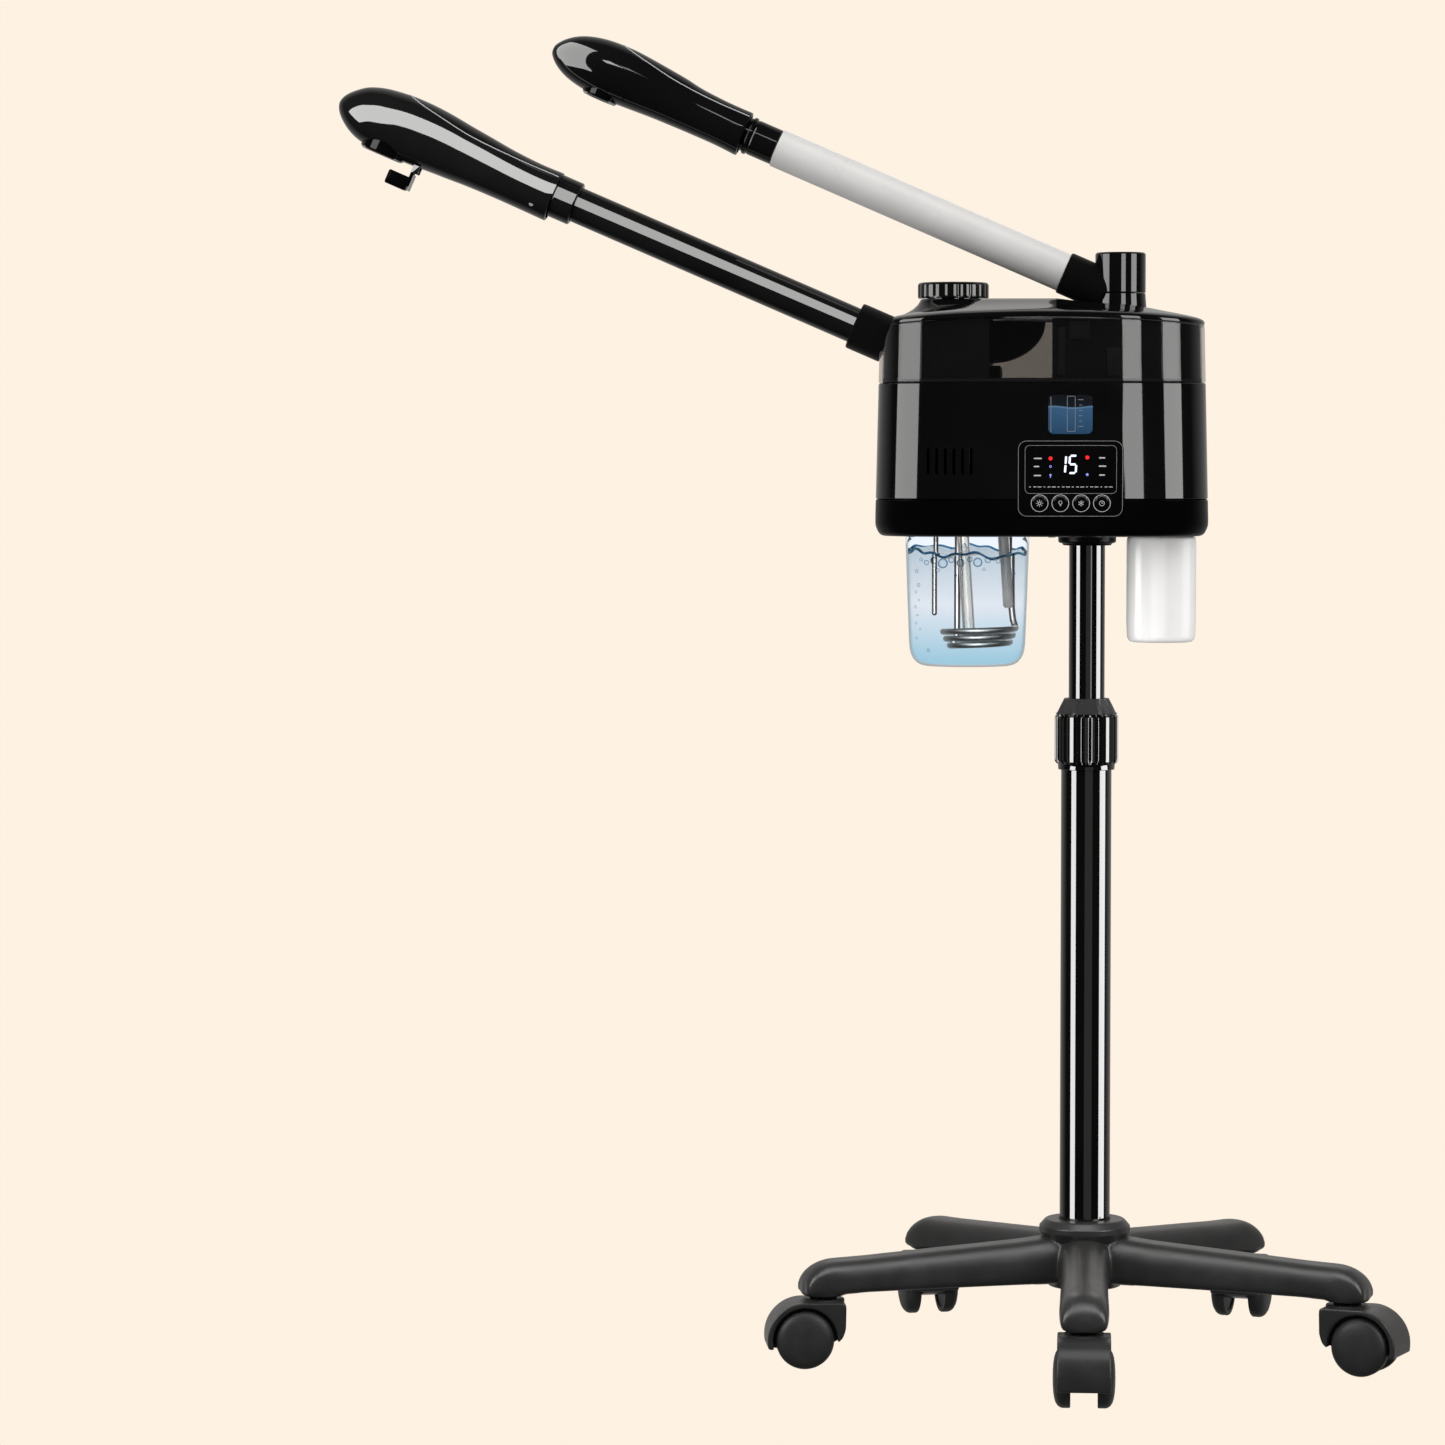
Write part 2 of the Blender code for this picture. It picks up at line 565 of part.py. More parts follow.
def panel_parts():
    fascia = place("panel_fascia", rounded_plate("panel_fascia", PANEL_W, PANEL_H, 0.0077, -0.0006, 0.0016),
                   "black_gloss", moved(PANEL_X, FRONT_Y, PANEL_Z))
    combine(fascia, place_cutter("lens_seat", rounded_plate("lens_seat", 0.0780, 0.0414, 0.0043, -0.010, 0.0002),
                                 moved(-0.0140, FRONT_Y, 0.7702)))
    for number, x in enumerate(BUTTON_XS):
        hole = place_cutter(f"fascia_hole_{number}", rod(f"fascia_hole_{number}", BUTTON_R + 0.0004, -0.02, 0.02, 16),
                            along_y(x, FRONT_Y, BUTTON_Z))
        combine(fascia, hole)
    place("display_lens", rounded_plate("display_lens", 0.0774, 0.0408, 0.0040, -0.0008, -0.0001), "black_gloss",
          moved(-0.0140, FRONT_Y, 0.7702))
    place("level_window", rounded_plate("level_window", WINDOW_W, WINDOW_H, 0.0047, -0.0004, 0.0016), "water_blue",
          moved(WINDOW_X, FRONT_Y, WINDOW_Z))
    for number, x in enumerate(BUTTON_XS):
        key = turned(f"button_{number + 1}", [
            (0, 0.0085), (BUTTON_R, 0.0085), (BUTTON_R, -0.0012), (BUTTON_R - 0.0006, -0.0019), (0, -0.0021)], 16)
        place(f"button_{number + 1}", key, "black_gloss", along_y(x, FRONT_Y, BUTTON_Z))
    board = box_mesh("control_board", -0.044, 0.044, 0.0105, 0.0121, -0.0130, 0.0345)
    place("control_board", board, "board", moved(PANEL_X, FRONT_Y, PANEL_Z))


def inner_parts():
    place("power_board", box_mesh("power_board", -0.150, -0.030, 0.030, 0.085, 0.8180, 0.8196), "board")
    inlet = place("power_inlet", box_mesh("power_inlet", -0.0150, 0.0150, 0.0780, BODY_HALF_Y + 0.0015, 0.7750, 0.8000),
                  "black_satin", moved(-0.0792, 0, 0))
    combine(inlet, place_cutter("inlet_pocket", box_mesh(
        "inlet_pocket", -0.0115, 0.0115, 0.0860, 0.12, 0.7795, 0.7955), moved(-0.0792, 0, 0)))
    outline = []
    for i in range(32):
        angle = math.tau * i / 32
        radius = 0.0280 if i % 4 in (0, 1) else 0.0210
        outline.append((radius * math.cos(angle), radius * math.sin(angle)))
    rotor = place("fan_rotor", lofted("fan_rotor", [[(x, y, z) for x, y in outline] for z in (0.7850, 0.8030)]),
                  "grey", moved(0.0640, 0.0300, 0))
    combine(rotor, place_cutter("rotor_bore", rod("rotor_bore", 0.0030, 0.75, 0.83, 16), moved(0.0640, 0.0300, 0)))
    floor = TRAY_BOTTOM + 0.0030 + GAP
    boiler = turned("boiler_head", [
        (0.0100, 0.7480), (0.0565, 0.7480), (0.0575, 0.7470), (0.0575, floor), (JAR_NECK_R + 0.0005, floor),
        (JAR_NECK_R + 0.0005, 0.7335), (0.0100, 0.7335)], 20, closed=True)
    place("boiler_head", boiler, "steel", moved(JAR_X, 0, 0))
    mist = turned("mist_head", [
        (0.0080, 0.7440), (0.0292, 0.7440), (0.0300, 0.7430), (0.0300, floor), (CUP_NECK_R + 0.0005, floor),
        (CUP_NECK_R + 0.0005, 0.7310), (0.0080, 0.7310)], 20, closed=True)
    place("mist_head", mist, "grey", moved(CUP_X, 0, 0))


def coil_route():
    """The route of the heating tube down one leg and round two and a half turns."""
    points = []
    cx, cy, r = 0.0095, 0.0, 0.0305
    points.append((0.0360, 0.0080, 0.7480))
    points.append((0.0360, 0.0080, 0.6600))
    points.append((0.0385, 0.0080, 0.6380))
    turns = 2.5
    steps = 26
    start = math.atan2(0.0080, 0.0300)
    for i in range(steps + 1):
        angle = start - math.tau * turns * i / steps
        points.append((cx + (r - 0.0060 * i / steps) * math.cos(angle), cy + (r - 0.0060 * i / steps) * math.sin(angle),
                       0.6330 - 0.0150 * i / steps))
    return points


def jar_parts():
    jar = turned("jar_glass", [
        (0, JAR_BOTTOM), (0.0380, JAR_BOTTOM), (0.0460, JAR_BOTTOM + 0.0025), (0.0495, JAR_BOTTOM + 0.0080),
        (0.0503, JAR_BOTTOM + 0.0160), (JAR_R, 0.7030), (JAR_R, 0.7090), (0.0520, 0.7118), (JAR_NECK_R, 0.7122),
        (JAR_NECK_R, 0.7295), (JAR_NECK_R - 0.0030, 0.7295), (JAR_NECK_R - 0.0030, 0.7100), (0.0503, 0.7030),
        (0.0473, JAR_BOTTOM + 0.0170), (0.0465, JAR_BOTTOM + 0.0095), (0.0435, JAR_BOTTOM + 0.0055),
        (0.0370, JAR_BOTTOM + 0.0035), (0, JAR_BOTTOM + 0.0035)], 20)
    place("jar_glass", jar, "glass", moved(JAR_X, 0, 0))
    place("jar_seal", pipe("jar_seal", JAR_NECK_R - 0.0003, 0.0455, 0.7298, 0.7330, 20), "rubber", moved(JAR_X, 0, 0))
    cup = turned("cold_cup", [
        (0, CUP_BOTTOM), (0.0240, CUP_BOTTOM), (0.0280, CUP_BOTTOM + 0.0015), (0.0296, CUP_BOTTOM + 0.0050),
        (CUP_R, 0.6400), (CUP_R, 0.7100), (0.0290, 0.7122), (CUP_NECK_R, 0.7122), (CUP_NECK_R, 0.7290),
        (CUP_NECK_R - 0.0020, 0.7290), (CUP_NECK_R - 0.0020, 0.7080), (0.0278, 0.7040), (0.0278, 0.6300),
        (0.0260, 0.6240), (0, 0.6235)], 20)
    place("cold_cup", cup, "milky", moved(CUP_X, 0, 0))

    route = [(0.0360, 0.0080, 0.7380)] + coil_route()[1:]
    end = route[-1]
    route += [(end[0] + 0.004, end[1] + 0.002, end[2] + 0.004), (end[0] + 0.006, end[1] + 0.003, end[2] + 0.014),
              (end[0] + 0.006, end[1] + 0.003, 0.7380)]
    curve = bpy.data.curves.new("heater_coil", "CURVE")
    curve.dimensions = "3D"
    line = curve.splines.new("POLY")
    line.points.add(len(route) - 1)
    for point, (x, y, z) in zip(line.points, route):
        point.co = (x, y, min(z, 0.7332), 1.0)
    curve.bevel_depth = 0.0027
    curve.bevel_resolution = 2
    curve.use_fill_caps = True
    coil = bpy.data.objects.new("heater_coil", curve)
    coil.matrix_world = moved(JAR_X, 0, 0)
    curve.materials.append(finish_for("heater_coil", "steel"))
    STEAMER.objects.link(coil)

    place("level_probe", rod("level_probe", 0.0022, 0.6440, 0.7332, 14), "steel", moved(-0.1305, -0.0060, 0))
    slant = Matrix.Rotation(math.radians(-3.6), 4, "Y")
    place("fill_tube", pipe("fill_tube", 0.0052, 0.0038, -0.1010, 0.0, 20), "milky",
          moved(-0.1080, -0.0190, 0.7325) @ slant)
    place("thermostat_sheath", rod("thermostat_sheath", 0.0045, -0.0820, 0.0, 18), "grey",
          moved(-0.0735, -0.0140, 0.7325) @ Matrix.Rotation(math.radians(-3.4), 4, "Y"))


def parting_prism(name, parting, offset):
    """Everything above the parting line, across the whole head."""
    line = [(at, k + offset) for at, k in parting]
    outline = line + [(line[-1][0], 0.08), (line[0][0], 0.08)]
    rings = [[(k, y, at) for at, k in outline] for y in (-0.06, 0.06)]
    return lofted(name, rings)


def spray_head(tag, frame, stations, parting, nozzle_at, nozzle_r, wall=0.0024):
    start, end = stations[0][0], stations[-1][0]
    outer = lofted(f"{tag}_head_outer", [head_ring(s, 0) for s in stations])
    inner_rings = [head_ring((start - 0.01,) + stations[0][1:], wall)]
    inner_rings += [head_ring(s, wall) for s in stations[1:-3]]
    inner = lofted(f"{tag}_head_inner", inner_rings)
    lower = place(f"{tag}_head_lower", outer, "black_gloss", frame)
    upper = place(f"{tag}_head_upper", outer.copy(), "black_gloss", frame)
    hollow = place_cutter(f"{tag}_hollow", inner, frame)
    above = place_cutter(f"{tag}_above", parting_prism(f"{tag}_above", parting, -GAP / 2), frame)
    top = place_cutter(f"{tag}_top", parting_prism(f"{tag}_top", parting, GAP / 2), frame)
    combine(lower, above)
    combine(lower, hollow)
    combine(upper, top, "INTERSECT")
    combine(upper, hollow)
    low = min(s[1] for s in stations)
    down = frame @ moved(low, 0, nozzle_at) @ Matrix.Rotation(math.radians(-90), 4, "Y")
    mouth = place_cutter(f"{tag}_mouth", rod(f"{tag}_mouth", nozzle_r + GAP, -0.020, 0.020, 20), down)
    combine(lower, mouth)
    ring = turned(f"{tag}_nozzle", [
        (nozzle_r - 0.0055, 0.0030), (nozzle_r + 0.0020, 0.0030), (nozzle_r + 0.0026, 0.0022),
        (nozzle_r + 0.0026, GAP), (nozzle_r, GAP), (nozzle_r, -0.0080), (nozzle_r - 0.0020, -0.0080),
        (nozzle_r - 0.0045, -0.0010)], 20, closed=True)
    place(f"{tag}_nozzle", ring, "grey", down)
    return lower, upper


def hot_arm():
    frame = arm_frame(HOT_X, HOT_Z, HOT_RISE)
    sleeve = turned("hot_sleeve", [
        (0.0090, -0.0110), (0.0111, -0.0110), (0.0111, GAP), (0.0200, GAP), (0.0206, 0.0010), (0.0206, 0.0305),
        (0.0200, 0.0320), (HOT_TUBE_R + GAP, 0.0320), (HOT_TUBE_R + GAP, 0.0060), (0.0090, 0.0060)], 20, closed=True)
    place("hot_sleeve", sleeve, "black_gloss", frame)
    tube = pipe("hot_tube", HOT_TUBE_R, 0.0135, 0.0064, HOT_COLLAR_AT + 0.0120, 20)
    place("hot_tube", tube, "black_gloss", frame)
    collar = turned("hot_collar", [
        (HOT_TUBE_R + GAP, HOT_COLLAR_AT), (0.0180, HOT_COLLAR_AT), (0.0191, HOT_COLLAR_AT + 0.0012),
        (0.0191, HOT_HEAD_AT - GAP), (0.0165, HOT_HEAD_AT - GAP), (0.0165, HOT_HEAD_AT + 0.0090),
        (0.0140, HOT_HEAD_AT + 0.0090), (0.0140, HOT_COLLAR_AT + 0.0124), (HOT_TUBE_R + GAP, HOT_COLLAR_AT + 0.0124)],
        20, closed=True)
    place("hot_collar", collar, "black_gloss", frame)
    lower, _ = spray_head("hot", frame, HOT_STATIONS, HOT_PARTING, HOT_NOZZLE_AT, 0.0205)
    for tag, y0, y1 in (("near", -0.0085, -0.0062), ("far", 0.0062, 0.0085)):
        lug = place_cutter(f"lug_{tag}", box_mesh(f"lug_{tag}", -0.0315, -0.0240, y0, y1, 0.4325, 0.4385), frame)
        combine(lower, lug, "UNION")
    flap_frame = frame @ moved(-0.0290, 0, 0.4355)
    flap = place("aroma_flap", box_mesh("aroma_flap", -0.0195, -0.0070, -0.0090, 0.0090, 0.0020, 0.0215), "black_satin",
                 flap_frame)
    combine(flap, place_cutter("aroma_pocket", box_mesh(
        "aroma_pocket", -0.0180, 0.0, -0.0075, 0.0075, 0.0050, 0.0200), flap_frame))
    barrel = place_cutter("flap_barrel", rod("flap_barrel", 0.0024, -0.0059, 0.0059, 16),
                          flap_frame @ Matrix.Rotation(math.radians(90), 4, "X"))
    stem = place_cutter("flap_stem", box_mesh("flap_stem", -0.0150, -0.0005, -0.0050, 0.0050, 0.0004, 0.0035), flap_frame)
    combine(flap, stem, "UNION")
    combine(flap, barrel, "UNION")


def cold_arm():
    frame = arm_frame(COLD_X, COLD_Z, COLD_RISE)
    post = turned("cold_elbow", [
        (0, COLD_POST_TOP), (0.0190, COLD_POST_TOP), (0.0210, COLD_POST_TOP - 0.0010),
        (COLD_POST_R, COLD_POST_TOP - 0.0030), (COLD_POST_R, COLD_POST_SEAM), (0.0117, COLD_POST_SEAM),
        (0.0117, COLD_POST_SEAM - 0.0120), (0, COLD_POST_SEAM - 0.0120)], 20)
    elbow = place("cold_elbow", post, "black_gloss", moved(COLD_X, 0, 0))
    sleeve = place_cutter("cold_sleeve", rod("cold_sleeve", COLD_SLEEVE_R, 0.0100, COLD_SLEEVE_END, 24), frame)
    trim = place_cutter("below_seam", rod("below_seam", COLD_BOSS_R + 0.0008, 0.88, COLD_POST_SEAM, 20),
                        moved(COLD_X, 0, 0))
    sleeve_solid = place_cutter("cold_sleeve_trimmed", sleeve.data.copy(), frame)
    combine(sleeve_solid, trim)
    combine(elbow, sleeve_solid, "UNION")
    combine(elbow, place_cutter("cold_bore", rod("cold_bore", COLD_TUBE_R + GAP, 0.0260, 0.1, 24), frame))
    combine(elbow, place_cutter("cold_riser", rod("cold_riser", 0.0080, 0.90, 0.9300, 20), moved(COLD_X, 0, 0)))
    place("cold_tube", pipe("cold_tube", COLD_TUBE_R, 0.0148, 0.0266, COLD_COLLAR_AT, 20), "white", frame)
    collar = turned("cold_collar", [
        (0.0120, COLD_COLLAR_AT - 0.0120), (0.0145, COLD_COLLAR_AT - 0.0120), (0.0145, COLD_COLLAR_AT + GAP),
        (0.0150, COLD_COLLAR_AT + GAP), (0.0156, COLD_COLLAR_AT + 0.0010), (0.0156, COLD_COLLAR_AT + 0.0226),
        (0.0166, COLD_COLLAR_AT + 0.0240), (0.0166, COLD_HEAD_AT - GAP), (0.0150, COLD_HEAD_AT - GAP),
        (0.0150, COLD_HEAD_AT + 0.0090), (0.0120, COLD_HEAD_AT + 0.0090)], 20, closed=True)
    place("cold_collar", collar, "black_gloss", frame)
    spray_head("cold", frame, COLD_STATIONS, COLD_PARTING, COLD_NOZZLE_AT, 0.0165)


def stand_on_origin():
    for obj in STEAMER.objects[:] + CUTTERS.objects[:]:
        obj.matrix_world = moved(SHIFT_X, SHIFT_Y, 0) @ obj.matrix_world


def build():
    base_and_column()
    casters()
    cabinet_shells()
    panel_parts()
    inner_parts()
    jar_parts()
    hot_arm()
    cold_arm()
    stand_on_origin()


build()
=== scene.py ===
import json
import math

import bmesh
import bpy
from mathutils import Matrix, Vector


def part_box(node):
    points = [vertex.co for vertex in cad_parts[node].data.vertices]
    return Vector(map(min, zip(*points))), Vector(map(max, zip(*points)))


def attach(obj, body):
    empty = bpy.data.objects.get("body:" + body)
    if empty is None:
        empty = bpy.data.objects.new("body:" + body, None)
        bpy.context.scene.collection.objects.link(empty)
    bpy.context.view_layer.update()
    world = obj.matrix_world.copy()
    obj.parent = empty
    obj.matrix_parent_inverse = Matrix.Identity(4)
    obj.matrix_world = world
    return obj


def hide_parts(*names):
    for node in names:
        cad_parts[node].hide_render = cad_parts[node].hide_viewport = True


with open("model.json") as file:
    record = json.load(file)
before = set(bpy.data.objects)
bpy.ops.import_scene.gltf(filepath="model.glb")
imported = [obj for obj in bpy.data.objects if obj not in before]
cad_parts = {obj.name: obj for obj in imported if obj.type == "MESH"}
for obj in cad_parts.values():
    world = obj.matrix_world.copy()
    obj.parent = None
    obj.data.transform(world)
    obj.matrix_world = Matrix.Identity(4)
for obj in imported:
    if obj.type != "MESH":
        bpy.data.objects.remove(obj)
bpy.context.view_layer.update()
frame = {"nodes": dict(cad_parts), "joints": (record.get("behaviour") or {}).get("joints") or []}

# ---------------------------------------------------------------- places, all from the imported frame

MM = 0.001  # shapes and placings are written in millimetres, and lights and the camera in metres

NODES = frame["nodes"]
JOINTS = {joint["name"]: joint for joint in frame["joints"]}


def pole_foot():
    low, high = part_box("upper_pole")
    return Vector(((low.x + high.x) / 2, (low.y + high.y) / 2, 0))


FOOT = pole_foot()
HOME = Matrix.Translation(FOOT)


def box_of(node):
    """The middle and the size of a node's box, measured from the foot of the pole."""
    low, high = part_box(node)
    return ((low + high) / 2 - FOOT) / MM, (high - low) / MM


def heights(node):
    return [corner.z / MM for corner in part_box(node)]


def joint_at(name):
    return (Vector(JOINTS[name]["pos_m"]) - FOOT) / MM


def moved(x=0.0, y=0.0, z=0.0):
    return Matrix.Translation((x * MM, y * MM, z * MM))


def turned(angle, axis="Z"):
    return Matrix.Rotation(math.radians(angle), 4, axis)


def arm_frame(joint, back=0.0):
    """Local Z runs up an arm, local X is its upper side; back is how far the joint lies along the arm."""
    out = Vector(JOINTS[joint]["axis"]).normalized()
    side = Vector((0, 1, 0))
    turn = Matrix((side.cross(out), side, out)).transposed().to_4x4()
    return Matrix.Translation(Vector(JOINTS[joint]["pos_m"]) - FOOT - out * (back * MM)) @ turn


COLD_TUBE_END = 323.5
HOT = arm_frame("hot_arm_turn")
COLD = arm_frame("cold_head_turn", COLD_TUBE_END)

# ---------------------------------------------------------------- cabinet measures, from the pole's foot

BODY_X = -39.2
BODY_HALF_X = 142.7
BODY_HALF_Y = 102.5
CORNER_X = 72
CORNER_Y = 60
TRAY_BOTTOM = 713
LOWER_SEAM = 744.8
UPPER_SEAM = 844
DECK_SEAM = 892.5
DECK_TOP = 908.5
CROWN = 6.5
TAPER = 4.5
WALL = 3
GAP = 0.3
FRONT = -BODY_HALF_Y
BACK = BODY_HALF_Y
POCKET = {"centre": -25.8, "half_x": 123.8}

# ---------------------------------------------------------------- materials

MAT = {}
BLUE_TINT = (0.35, 0.62, 0.80)


def feed(tree, node, inputs):
    """Fills a node's inputs: a socket is linked, any other value is copied."""
    for name, value in inputs.items():
        socket = node.inputs[name]
        if isinstance(value, bpy.types.NodeSocket):
            tree.links.new(value, socket)
        else:
            socket.default_value = (*value, 1) if socket.type == "RGBA" else value


def add_node(tree, kind, inputs=None, **settings):
    node = tree.nodes.new("ShaderNode" + kind)
    for name, value in settings.items():
        setattr(node, name, value)
    feed(tree, node, inputs or {})
    return node


def new_material(name, colour, rough, inputs=None):
    material = bpy.data.materials.new(name)
    material.use_nodes = True
    tree = material.node_tree
    shader = tree.nodes["Principled BSDF"]
    feed(tree, shader, {"Base Color": colour, "Roughness": rough, **(inputs or {})})
    MAT[name] = material
    return tree, shader


def coords(tree, output="Object"):
    return add_node(tree, "TexCoord").outputs[output]


def along(tree, axis, output="Object"):
    return add_node(tree, "SeparateXYZ", {"Vector": coords(tree, output)}).outputs[axis]


def noise(tree, scale, detail, stretch=(1, 1, 1)):
    place = add_node(tree, "Mapping", {"Vector": coords(tree), "Scale": stretch}).outputs["Vector"]
    return add_node(tree, "TexNoise", {"Vector": place, "Scale": scale, "Detail": detail}).outputs["Fac"]


def ranged(tree, source, low, high, from_low=0.3, from_high=0.7):
    inputs = {"Value": source, "From Min": from_low, "From Max": from_high, "To Min": low, "To Max": high}
    return add_node(tree, "MapRange", inputs).outputs["Result"]


def ramped(tree, source, *stops):
    """The colour of a ramp of (position, colour) stops, its two ends first."""
    node = add_node(tree, "ValToRGB", {"Fac": source})
    elements = node.color_ramp.elements
    for number, (position, colour) in enumerate(stops):
        stop = elements[number] if number < 2 else elements.new(position)
        stop.position = position
        stop.color = (*colour, 1)
    return node.outputs["Color"]


def wandering(tree, low, high, scale, stretch=(1, 1, 1)):
    """A value that wanders between low and high."""
    return ranged(tree, noise(tree, scale, 3, stretch), low, high)


def bumped(tree, scale, strength, distance=0.0001, stretch=(1, 1, 1)):
    inputs = {"Height": noise(tree, scale, 2, stretch), "Strength": strength, "Distance": distance}
    return add_node(tree, "Bump", inputs).outputs["Normal"]


def finish(name, dark, light, rough, scales=(9, 26), bump=None, stretch=(1, 1, 1), **inputs):
    """A finish whose colour and roughness wander a little; other inputs go straight to the shader."""
    tree, shader = new_material(name, light, sum(rough) / 2, inputs)
    colour = ramped(tree, noise(tree, scales[0], 4, stretch), (0.35, dark), (0.65, light))
    feed(tree, shader, {"Base Color": colour, "Roughness": wandering(tree, *rough, scales[1], stretch)})
    if bump:
        feed(tree, shader, {"Normal": bumped(tree, *bump, stretch=stretch)})


def metal(name, dark, light, rough):
    finish(name, dark, light, rough, (40, 90), (180, 0.15), (1, 1, 0.2), Metallic=1)


def clear(name, colour, ior, rough=0.0, **inputs):
    return new_material(name, colour, rough, {"IOR": ior, "Transmission Weight": 1, **inputs})


def glowing(name, colour, strength):
    tree, shader = new_material(name, (0.02, 0.02, 0.02), 0.3)
    feed(tree, shader, {"Emission Color": colour, "Emission Strength": strength,
                        "Roughness": wandering(tree, 0.25, 0.35, 300)})


def rimmed(name, ior, middle, rim, start, end):
    """Clear stuff that turns to a deeper colour where the eye looks along its surface."""
    tree, shader = clear(name, middle, ior, **{"Specular Tint": BLUE_TINT})
    facing = add_node(tree, "LayerWeight", {"Blend": 0.5}).outputs["Facing"]
    feed(tree, shader, {"Base Color": ramped(tree, facing, (start, middle), (end, rim))})


def water_material():
    """Faintly blue water, bluer towards the bottom of the jar."""
    tree, shader = clear("water", (0.66, 0.70, 0.75), 1.05,
                         **{"Specular IOR Level": 0.2, "Specular Tint": BLUE_TINT})
    height = ranged(tree, along(tree, "Z"), 0, 1, 0.606, 0.700)
    feed(tree, shader, {"Base Color": ramped(tree, height, (0, (0.40, 0.64, 0.74)), (1, (0.56, 0.64, 0.68)),
                                             (0.5, (0.86, 0.87, 0.885)))})


def window_material():
    """A clear window with rippled blue water behind its lower part and dark plastic above; the lighter band
    at the water's level is a painted highlight along the waterline.
    """
    tree, shader = new_material("window_blue", (0.1, 0.2, 0.4), 0.08, {"IOR": 1.6})
    phase = add_node(tree, "Math", {0: along(tree, "X"), 1: 180, 2: 4.2}, operation="MULTIPLY_ADD")
    ripple = add_node(tree, "Math", {0: phase.outputs[0]}, operation="SINE")
    level = add_node(tree, "Math", {0: ripple.outputs[0], 1: -0.0007, 2: along(tree, "Z")},
                     operation="MULTIPLY_ADD")
    height = ranged(tree, level.outputs[0], 0, 1, -0.0165, 0.0165)
    # The lighter stop at 0.685 is a painted highlight along the waterline; the stops below it are the water's
    # blue.
    colour = ramped(tree, height, (0, (0.035, 0.105, 0.215)), (1, (0.010, 0.012, 0.016)),
                    (0.655, (0.055, 0.145, 0.290)), (0.685, (0.150, 0.290, 0.460)),
                    (0.715, (0.012, 0.018, 0.028)))
    feed(tree, shader, {"Base Color": colour, "Roughness": wandering(tree, 0.05, 0.12, 60)})


def board_material():
    tree, shader = new_material("circuit_board", (0.02, 0.12, 0.05), 0.45)
    brick = add_node(tree, "TexBrick", {"Vector": coords(tree), "Scale": 220, "Color1": (0.015, 0.10, 0.045),
                                        "Color2": (0.02, 0.13, 0.06), "Mortar": (0.10, 0.30, 0.14)})
    feed(tree, shader, {"Base Color": brick.outputs["Color"], "Normal": bumped(tree, 300, 0.3, 0.0002)})


finish("black_gloss", (0.0030, 0.0030, 0.0034), (0.0045, 0.0045, 0.0050), (0.035, 0.060), IOR=1.8)
finish("arm_gloss", (0.0035, 0.0036, 0.0038), (0.0055, 0.0056, 0.0058), (0.030, 0.055), IOR=1.9)
finish("black_satin", (0.0022, 0.0022, 0.0024), (0.0034, 0.0034, 0.0037), (0.28, 0.36), bump=(900, 0.25),
       IOR=1.25)
finish("smoke_plastic", (0.0040, 0.0040, 0.0044), (0.0060, 0.0060, 0.0064), (0.030, 0.050), IOR=2.2,
       Alpha=0.43)
finish("pole_black", (0.0030, 0.0030, 0.0032), (0.0045, 0.0045, 0.0048), (0.016, 0.030), IOR=2.1)
finish("sleeve_black", (0.0090, 0.0090, 0.0095), (0.0120, 0.0120, 0.0125), (0.34, 0.42), bump=(900, 0.25),
       IOR=1.3)
# The clamp's cone is black satin; its lighter colour here is painted light for the light its facets catch,
# which the cabinet keeps the lamps from.
finish("cone_black", (0.040, 0.040, 0.041), (0.050, 0.050, 0.051), (0.26, 0.34), (40, 60), (900, 0.1))
finish("cell_grey", (0.030, 0.030, 0.031), (0.040, 0.040, 0.041), (0.40, 0.50), bump=(700, 0.2), IOR=1.3)
finish("sheath_grey", (0.34, 0.325, 0.31), (0.43, 0.41, 0.39), (0.28, 0.38), (60, 90), (800, 0.2))
finish("base_nylon", (0.0185, 0.0187, 0.0190), (0.0240, 0.0242, 0.0246), (0.30, 0.38), (30, 60), (1100, 0.3),
       IOR=1.6)
finish("wheel_nylon", (0.0190, 0.0190, 0.0192), (0.0250, 0.0250, 0.0255), (0.42, 0.52), (40, 80),
       (1300, 0.3), IOR=1.45)
finish("grey_plastic", (0.060, 0.062, 0.066), (0.085, 0.088, 0.092), (0.30, 0.42), bump=(700, 0.2))
finish("silver_plastic", (0.42, 0.43, 0.44), (0.52, 0.53, 0.54), (0.22, 0.32), bump=(700, 0.15))
finish("seal_rubber", (0.040, 0.040, 0.042), (0.055, 0.055, 0.058), (0.60, 0.75), bump=(500, 0.3))
finish("milky_plastic", (0.82, 0.82, 0.82), (0.87, 0.87, 0.87), (0.16, 0.24), (14, 40), (500, 0.06))
finish("pearl_white", (0.72, 0.715, 0.71), (0.77, 0.765, 0.76), (0.26, 0.34), (20, 50), (900, 0.08))
finish("line_grey", (0.34, 0.34, 0.35), (0.42, 0.42, 0.43), (0.35, 0.45), (200, 300))
finish("label_white", (0.70, 0.70, 0.72), (0.85, 0.85, 0.87), (0.35, 0.45), (200, 300))
metal("coil_steel", (0.62, 0.63, 0.64), (0.76, 0.76, 0.77), (0.36, 0.46))
metal("steel", (0.50, 0.51, 0.52), (0.68, 0.68, 0.69), (0.16, 0.30))
glowing("digit_glow", (0.74, 0.82, 1.0), 1.7)
glowing("red_glow", (0.90, 0.015, 0.02), 1.2)
glowing("blue_glow", (0.30, 0.36, 1.0), 1.1)
